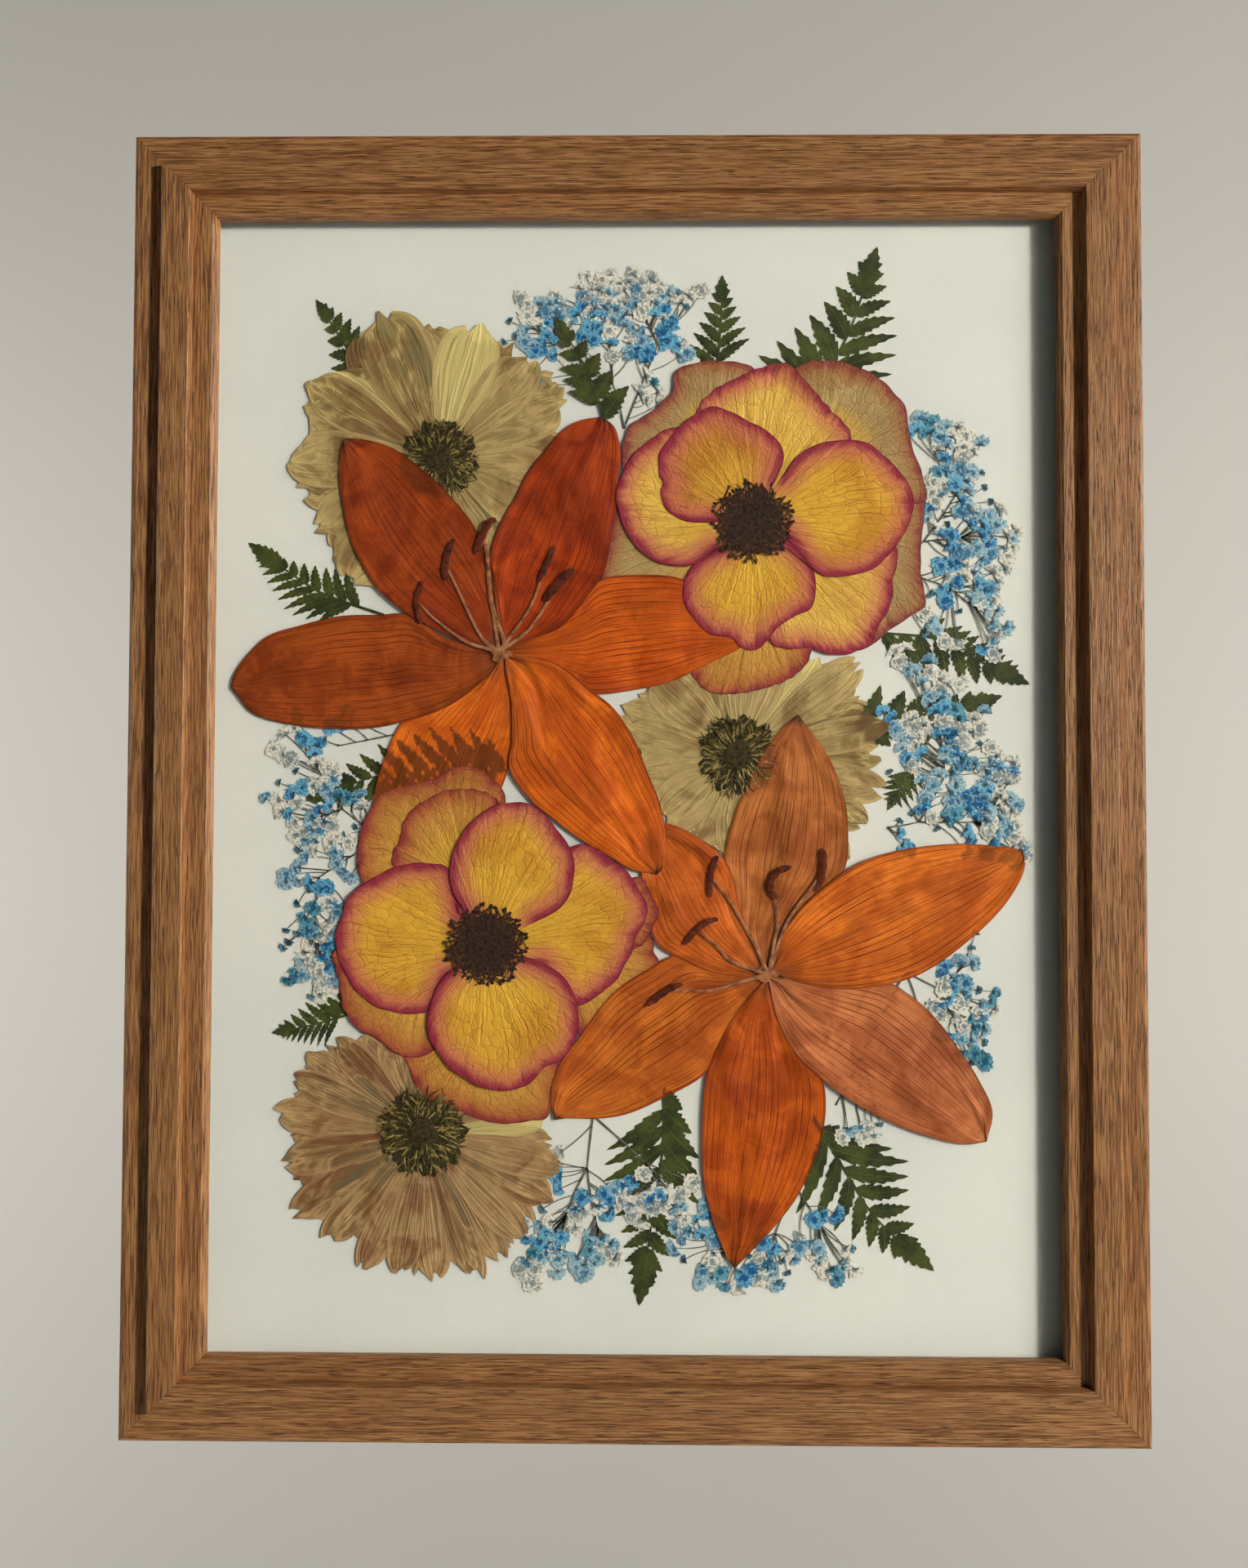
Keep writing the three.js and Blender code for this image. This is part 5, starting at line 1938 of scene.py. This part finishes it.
SPRAYS = (
    Spray("spray_top_heads", ((-4, 124, 0), (-8, 140, 0), (-28, 154, 1), (-10, 158, 1), (8, 154, 0), (-16, 166, 3),
                              (-36, 160, 2), (2, 166, 4), (14, 162, 4)), {
        Bloom.BUD: ((-44, 162), (-46, 155), (-42, 157), (-34, 164), (-9.5, 166.5), (12, 171), (17.5, 167), (15, 172),
                    (-3, 165)),
        Bloom.WHITE: ((-26, 168), (-38, 168), (-20, 174), (-12, 177), (2, 176), (-4, 173), (5, 172), (19, 171),
                      (8, 173), (4, 134)),
        Bloom.PALE: ((-34, 168), (-28, 165), (-15, 168), (-10, 172), (9, 171), (-38, 159), (-8, 162), (0, 168),
                     (3, 158), (18, 151)),
        Bloom.BLUE: ((-21, 164), (-16, 163), (-12, 163), (-31, 157), (-32, 153), (-28, 150), (-18, 156), (-12, 158),
                     (-9, 154), (0, 149), (1, 152), (7, 164), (10, 158), (11, 155), (-34, 141)),
        Bloom.TEAL: ((6, 140), (-7, 166))}, node="spray_top"),
    Spray("spray_right_upper_heads", ((88, 76, 0), (101, 84, 0), (112, 100, 1), (110, 68, 0), (106, 114, 2),
                                      (116, 86, 1), (120, 60, 3)), {
        Bloom.BLUE: ((99, 123), (108, 113), (112, 103), (116, 105), (103, 95), (114, 98), (107, 86), (121, 86),
                     (117, 90), (111, 81), (110, 76), (112, 69), (119, 69), (107, 68), (122, 47)),
        Bloom.PALE: ((107, 121), (114, 110), (118, 108), (119, 94), (124, 93), (124, 80), (116, 80), (122, 60),
                     (103, 56), (129, 54), (117, 64)),
        Bloom.WHITE: ((111, 121), (115, 117), (118, 116), (104, 101), (130, 86), (132, 82), (118, 73), (125, 73),
                      (125, 63), (108, 49)),
        Bloom.TEAL: ((106, 108), (103, 122)),
        Bloom.BUD: ((121, 108), (122, 103), (124, 98), (109, 90), (126, 90), (129, 81), (103, 66), (113, 60),
                    (101, 52), (127, 46))}, node="spray_right_upper"),
    Spray("spray_right_heads", ((88, -16, 0), (99, -14, 0), (108, 2, 1), (106, 20, 2), (118, -14, 1), (116, 12, 2),
                                (126, -8, 4)), {
        Bloom.BLUE: ((90, 22), (105, 24), (106, 16), (110, 13), (100, 9), (112, 9), (122, 4), (127, 4), (119, -4),
                     (101, -10), (116, -10), (122, -10), (93, -22), (116, -20), (124, -21)),
        Bloom.PALE: ((98, 38), (107, 29), (108, 7), (106, 2), (110, -4), (125, 0), (130, -6), (127, -13), (126, -17)),
        Bloom.WHITE: ((91, 45), (103, 38), (109, 34), (94, 20), (97, 19), (118, 22), (102, 16), (114, 14), (98, 12),
                      (126, 9), (99, 4), (132, 2), (122, -13), (131, -10), (132, -19), (131, -23), (135, -26)),
        Bloom.TEAL: ((113, 22), (118, 6), (111, -11)),
        Bloom.BUD: ((100, 34), (111, 26), (117, 17), (120, 13), (89, 3), (127, -5), (97, -11), (92, -14),
        (105, -16))}, node="spray_right"),
    Spray("spray_left_heads", ((-88, -20, 0), (-102, -10, 0), (-112, 6, 1), (-110, -34, 0), (-111, -56, 3),
                               (-114, -14, 1), (-84, 16, 0), (-104, 12, 6)), {
        Bloom.BLUE: ((-103, 20), (-111, 12), (-119, -5), (-120, -12), (-110, -11), (-108, -14), (-109, -17),
                     (-109, -38), (-106, -42), (-107, -57), (-109, -61), (-107, -65)),
        Bloom.PALE: ((-105, 0), (-98, -8), (-104, -25), (-114, -27), (-101, -31), (-117, -35), (-104, -46),
        (-105, -69)), Bloom.WHITE: ((-119, 18), (-123, 9), (-107, 4), (-112, -2), (-124, -7), (-118, -19),
                      (-104, -20), (-113, -57), (-113, -65), (-108, -71)),
        Bloom.TEAL: ((-114, -48), (-111, -50), (-117, -67), (-103, -6)),
        Bloom.BUD: ((-108, 14), (-118, 3), (-124, -1), (-97, -16), (-114, -21), (-111, -21), (-101, -19), (-117, -24),
                    (-118, -31), (-113, -38), (-117, -43), (-121, -52), (-117, -53), (-122, -58), (-120, -56),
                    (-112, -75))}, node="spray_left"),
    Spray("spray_bottom_left_heads", ((-14, -116, 0), (-16, -134, 0), (-24, -152, 1), (4, -132, 0), (-12, -156, 1),
                                      (4, -142, 3)), {
        Bloom.BLUE: ((-26, -132), (-25, -137), (-18, -144), (-10, -143), (-12, -147), (-32, -159), (-25, -158),
                     (-30, -161), (0, -138), (6, -145), (9, -143)),
        Bloom.PALE: ((-32, -154), (-26, -165), (-20, -168), (-11, -158), (14, -147)),
        Bloom.WHITE: ((-20, -150), (-34, -169), (-9, -163), (-4, -145), (0, -150), (17, -142), (2, -146)),
        Bloom.TEAL: ((-15, -162), (-34, -163)),
        Bloom.BUD: ((-8, -148), (-31, -148), (-13, -166), (-17, -167), (-24, -164))}, node="spray_bottom_left"),
    Spray("spray_bottom_heads", ((56, -140, 0), (49, -156, 0), (32, -162, 1), (65, -154, 0), (24, -158, 2),
                                 (46, -164, 1)), {
        Bloom.BLUE: ((24, -157), (38, -171), (48, -161), (65, -150), (26, -151)),
        Bloom.PALE: ((18, -158), (47, -170), (57, -161), (64, -161), (27, -171)),
        Bloom.WHITE: ((64, -166), (73, -165), (43, -171)),
        Bloom.TEAL: ((22, -152), (30, -169), (46, -167), (68, -168)),
        Bloom.BUD: ((18, -165), (24, -167), (28, -163), (32, -174.5), (37, -169), (40, -163), (43, -168), (51, -165),
                    (53, -169), (50, -172), (75, -161), (72, -167))}, node="spray_bottom"),
    Spray("spray_low_right_heads", ((94, -66, 0), (106, -72, 0), (98, -77, 0), (112, -86, 1), (70, -112, 0),
                                    (114, -64, 1)), {
        Bloom.BLUE: ((107, -67), (110, -71), (109, -75), (109, -87)),
        Bloom.PALE: ((117, -63), (114, -73), (120, -81), (113, -89), (74, -120)),
        Bloom.WHITE: ((106, -81), (83, -122)),
        Bloom.TEAL: ((123, -76), (116, -82), (118, -94)),
        Bloom.BUD: ((118, -53), (117, -58), (112, -63), (119, -72), (104, -79), (121, -85), (116, -97), (121, -90),
                    (85, -118))}),
)

DAISIES = (
    Daisy("daisy_a", (-69, 113), (
        (10, 44, 9, 0.2), (24.6, 50, 10, 0.5), (33.7, 51, 10, 0.3), (46, 49, 11, 0.6), (60, 49, 12, 0.4),
        (75, 51, 13, 0.97), (98, 50, 14, 0.5), (112, 58, 15, 0.1), (142, 49, 11, 0.95), (151, 56, 10, 0.3),
        (161, 52, 12, 0.8), (179, 54, 12, 0.5), (195, 52, 11, 0.2), (210, 51, 10, 0.6), (223, 53, 10, 0.4),
        (236, 55, 13, 0.7), (256, 50, 16, 0.3), (282, 48, 16, 0.5), (310, 46, 17, 0.2), (342, 44, 17, 0.6)),
        3, broad=1.75),
    Daisy("daisy_b", (36, 9), (
        (0, 50, 11, 0.3), (11, 54, 10, 0.6), (21, 50, 10, 0.2), (37, 55, 11, 0.7), (52, 45, 12, 0.97),
        (76, 39, 16, 0.9), (105, 38, 16, 0.5), (134, 42, 15, 0.7), (156, 45, 11, 0.8), (167, 41, 10, 0.6),
        (190, 36, 14, 0.9), (218, 36, 15, 0.8), (246, 36, 15, 0.7), (276, 37, 16, 0.5), (303, 46, 13, 0.2),
        (318, 53, 11, 0.4), (331, 51, 11, 0.3), (345, 53, 11, 0.5)), 8, broad=1.25),
    Daisy("daisy_c", (-73, -122), (
        (6, 46, 10, 0.97), (345, 50, 12, 0.7), (332, 52, 12, 0.4), (313, 51, 11, 0.8), (301, 53, 11, 0.6),
        (291, 55, 10, 0.3), (275, 52, 12, 0.8), (261, 51, 11, 0.6), (248, 52, 11, 0.8), (229, 52, 11, 0.4),
        (211, 54, 12, 0.2), (191, 51, 12, 0.3), (172, 54, 12, 0.6), (159, 50, 11, 0.4), (147, 49, 11, 0.5),
        (133, 45, 11, 0.3), (108, 40, 15, 0.5), (79, 38, 16, 0.4), (50, 40, 16, 0.3), (26, 44, 12, 0.6)), 14, ring=17.2,
        broad=1.1, skin=DaisyRaySkin("daisy_ray_brown", tone(196, 160, 110), tone(136, 108, 66), tone(116, 68, 34),
                                     tone(100, 96, 70), tone(80, 48, 22))),
)

LILIES = (
    Lily("lily_a", (-47, 44), {"bottom": 3, "right": 4, "left": 4, "upper": 5, "upper_left": 6, "lower_right": 6}, {
        "bottom": TepalSkin("tepal_a_bottom", tone(236, 120, 28), tone(196, 84, 16), shift=1.0),
        "right": TepalSkin("tepal_a_right", tone(212, 98, 20), tone(176, 68, 10), shift=2.0),
        "left": TepalSkin("tepal_a_left", tone(170, 80, 24), tone(130, 50, 12), tone(100, 36, 8), shift=3.0),
        "upper": TepalSkin("tepal_a_upper", tone(186, 70, 12), tone(136, 40, 4), tone(88, 22, 3), shift=4.0),
        "upper_left": TepalSkin("tepal_a_upper_left", tone(170, 72, 20), tone(126, 42, 9), tone(88, 26, 4), shift=5.0),
        "lower_right": TepalSkin("tepal_a_lower_right", tone(226, 112, 22), tone(190, 80, 14), shift=6.0),
    }, (
        (((-74.5, 69.8), (-76.4, 62.5), (-74.8, 54.8)), 2.2, ((-75.2, 61.5), (-69.4, 56), (-59, 48.5), (-47.5, 45))),
        (((-63.4, 84.5), (-65.6, 79.7), (-66.6, 73.3), (-65.9, 69.8)), 2.6,
         ((-66, 75), (-61.5, 65.7), (-53.8, 50.4), (-47.5, 45))),
        (((-48.7, 91.5), (-51.9, 89.5), (-56, 79.3)), 3, ((-53, 86), (-51.2, 72), (-50.2, 62.5), (-47.5, 45))),
        (((-28.2, 82.3), (-30.4, 76.5), (-33.6, 69.8)), 2.4, ((-32, 73), (-35.5, 63), (-39, 56.7), (-47.5, 45))),
        (((-21.2, 74), (-25, 70.8), (-29.5, 65.7), (-31.4, 62.8)), 3.4,
         ((-27, 68.2), (-34.6, 56), (-39, 51), (-47.5, 45))),
    ), ((-52.1, 82.9), (-51.2, 72), (-50.2, 62.5), (-48, 54.8), (-45.4, 48.5))),
    Lily("lily_b", (46, -67), {"top": 4, "lower_left": 4, "upper_left": 5, "bottom": 5, "lower_right": 6, "right": 7}, {
        "top": TepalSkin("tepal_b_top", tone(196, 118, 56), tone(156, 82, 34), tone(120, 54, 18), shift=7.0),
        "lower_left": TepalSkin("tepal_b_lower_left", tone(208, 114, 38), tone(166, 78, 22), shift=8.0),
        "upper_left": TepalSkin("tepal_b_upper_left", tone(216, 110, 34), tone(176, 80, 20), shift=9.0),
        "bottom": TepalSkin("tepal_b_bottom", tone(202, 94, 14), tone(156, 60, 6), shift=10.0),
        "lower_right": TepalSkin("tepal_b_lower_right", tone(208, 126, 74), tone(164, 86, 44), tone(130, 58, 28),
                                 shift=11.0),
        "right": TepalSkin("tepal_b_right", tone(238, 130, 42), tone(204, 98, 24), shift=12.0),
    }, (
        (((28.8, -26), (26.9, -31.3), (26.2, -36.4), (26.5, -40.2)), 2.2,
         ((26.6, -33.4), (32.6, -40.8), (40.9, -54.8), (46.5, -67))),
        (((54.3, -29.7), (49.8, -31.3), (47.3, -35), (47.9, -39), (49.8, -40.5)), 2.6,
         ((48.4, -39.6), (49.8, -48.5), (48.5, -56), (46.5, -67))),
        (((65.3, -23.3), (65.6, -27.4), (65, -32.5), (63.4, -37.9)), 2.6,
         ((64.9, -32.5), (60.8, -37.6), (52.6, -49.7), (46.5, -67))),
        (((29, -47.8), (25, -49), (21, -52.3), (17.3, -56.8)), 2.2,
         ((21.7, -51.8), (28.8, -57.4), (33.9, -62.5), (46.5, -67))),
        (((16.7, -70.2), (12.2, -72), (7.7, -75.3), (4.5, -77.8)), 2.4,
         ((12.5, -72.3), (25.6, -72.7), (37, -69.5), (46.5, -67))),
    )),
)

FRESH_ROSE = RoseSkin("rose_fresh")
LEMON_ROSE = RoseSkin("rose_lemon", tone(226, 184, 84), tone(200, 148, 62), shift=2.0)
DEEP_ROSE = RoseSkin("rose_deep", tone(194, 134, 48), tone(152, 84, 28), rim=1.1, shift=4.0)
AGED_ROSE = RoseSkin("rose_aged", tone(176, 150, 96), tone(150, 120, 76), tone(160, 104, 68), tone(136, 62, 60),
                     tone(100, 40, 44), rim=0.8, shift=8.0)
WARM_ROSE = RoseSkin("rose_warm", tone(200, 148, 66), tone(172, 112, 46), tone(172, 94, 54), tone(142, 50, 54),
                     rim=0.85, shift=12.0)

ROSES = (
    Rose("rose_a", (41, 91), {
        "bottom_back": 3, "top_right_back": 4, "top_left_back": 4, "low_right": 4, "top": 5, "bottom": 5, "left": 6,
        "right": 6, "top_left": 7}, {
        "back_right": AGED_ROSE, "back_left": AGED_ROSE, "bottom_back": WARM_ROSE, "top_right_back": AGED_ROSE,
        "top_left_back": AGED_ROSE, "low_right": LEMON_ROSE, "top": LEMON_ROSE, "bottom": FRESH_ROSE,
        "left": LEMON_ROSE, "right": FRESH_ROSE, "top_left": DEEP_ROSE}, 8, 5, {"right": (52, 97)}, {
        "back_right": (3, ((72, 88), (98, 101), (101.3, 99.5), (101, 92), (100, 82), (100, 72), (101.5, 62), (96, 57.5),
                           (88, 52), (82, 47), (76, 46), (70, 52))),
        "back_left": (3, ((25, 96), (-6, 100), (-8, 90), (-10, 80), (-12, 71), (-9, 62), (6, 56), (27, 58)))}),
    Rose("rose_b", (-51.5, -57.4), {
        "bottom_back": 3, "upper_left_back": 4, "lower_left_back": 4, "upper_left": 5, "left": 6, "right_back": 6,
        "right": 7, "top": 8, "bottom": 8}, {
        "back_lower": WARM_ROSE, "bottom_back": WARM_ROSE, "upper_left_back": WARM_ROSE, "lower_left_back": WARM_ROSE,
        "upper_left": WARM_ROSE, "left": FRESH_ROSE, "right_back": WARM_ROSE, "right": FRESH_ROSE, "top": FRESH_ROSE,
        "bottom": FRESH_ROSE}, 9, 9, {"lower_left_back": (-74, -64)}, {
        "back_lower": (3, ((-24, -62), (2, -50), (6, -54), (7.3, -59.5), (8.5, -64.5), (3, -73), (-6, -82), (-15, -88),
                           (-22, -86), (-28, -76)))}),
)


def main() -> None:
    """Builds the frame's pieces in the order they are laid."""
    logging.basicConfig(level=logging.INFO, format="%(name)s %(message)s")
    Moulding().dress()
    Glazing().dress()
    Backing().dress()
    pressing = Pressing()
    green = FernSkin().make()
    for frond in FRONDS:
        if frond.layer < 1:
            frond.make(green, pressing)
    kit = FloretKit()
    for spray in SPRAYS:
        spray.make(kit, pressing)
    kit.close()
    ring = [DriedBits("disc_dark", tone(22, 18, 8), tone(74, 60, 28)).make(),
            DriedBits("disc_olive", tone(48, 46, 16), tone(104, 96, 42)).make(),
            DriedBits("disc_straw", tone(90, 74, 34), tone(168, 146, 84)).make()]
    for daisy in DAISIES:
        daisy.make(daisy.skin.make(), ring, pressing)
    for frond in FRONDS:
        if frond.layer >= 1:
            frond.make(green, pressing)
    rose_skins = {given: given.make() for given in (FRESH_ROSE, LEMON_ROSE, DEEP_ROSE, AGED_ROSE, WARM_ROSE)}
    stack = [(lily.layers[side], lily, side) for lily in LILIES for side in lily.layers]
    stack += [(rose.layers.get(side, BACK_PETAL_TURN), rose, side) for rose in ROSES for side in rose.skins]
    for _, flower, side in sorted(stack, key=lambda entry: entry[0]):
        if isinstance(flower, Lily):
            flower.tepal(side, pressing)
        else:
            flower.petal(side, rose_skins[flower.skins[side]], pressing)
    anther = DriedBits("anther_rust", tone(58, 20, 8), tone(112, 48, 22), 500, 0.3).make()
    pale = DriedBits("filament_pale", tone(112, 66, 42), tone(176, 122, 84), 260, 0.1).make()
    tan = DriedBits("pistil_tan", tone(96, 54, 26), tone(170, 112, 68), 420, 0.2).make()
    for lily in LILIES:
        lily.cluster(anther, pale, tan)
    dark = [DriedBits("heart_black", tone(10, 6, 3), tone(66, 42, 26), 800, 0.5).make(),
            DriedBits("heart_brown", tone(22, 12, 6), tone(98, 62, 36), 800, 0.3).make(),
            DriedBits("heart_umber", tone(16, 9, 5), tone(60, 34, 18), 800, 0.3).make(),
            DriedBits("heart_tan", tone(84, 54, 26), tone(158, 112, 60), 600, 0.2).make()]
    for rose in ROSES:
        rose.heart(dark)
    Studio().make()
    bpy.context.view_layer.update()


if __name__ == "__main__":
    main()
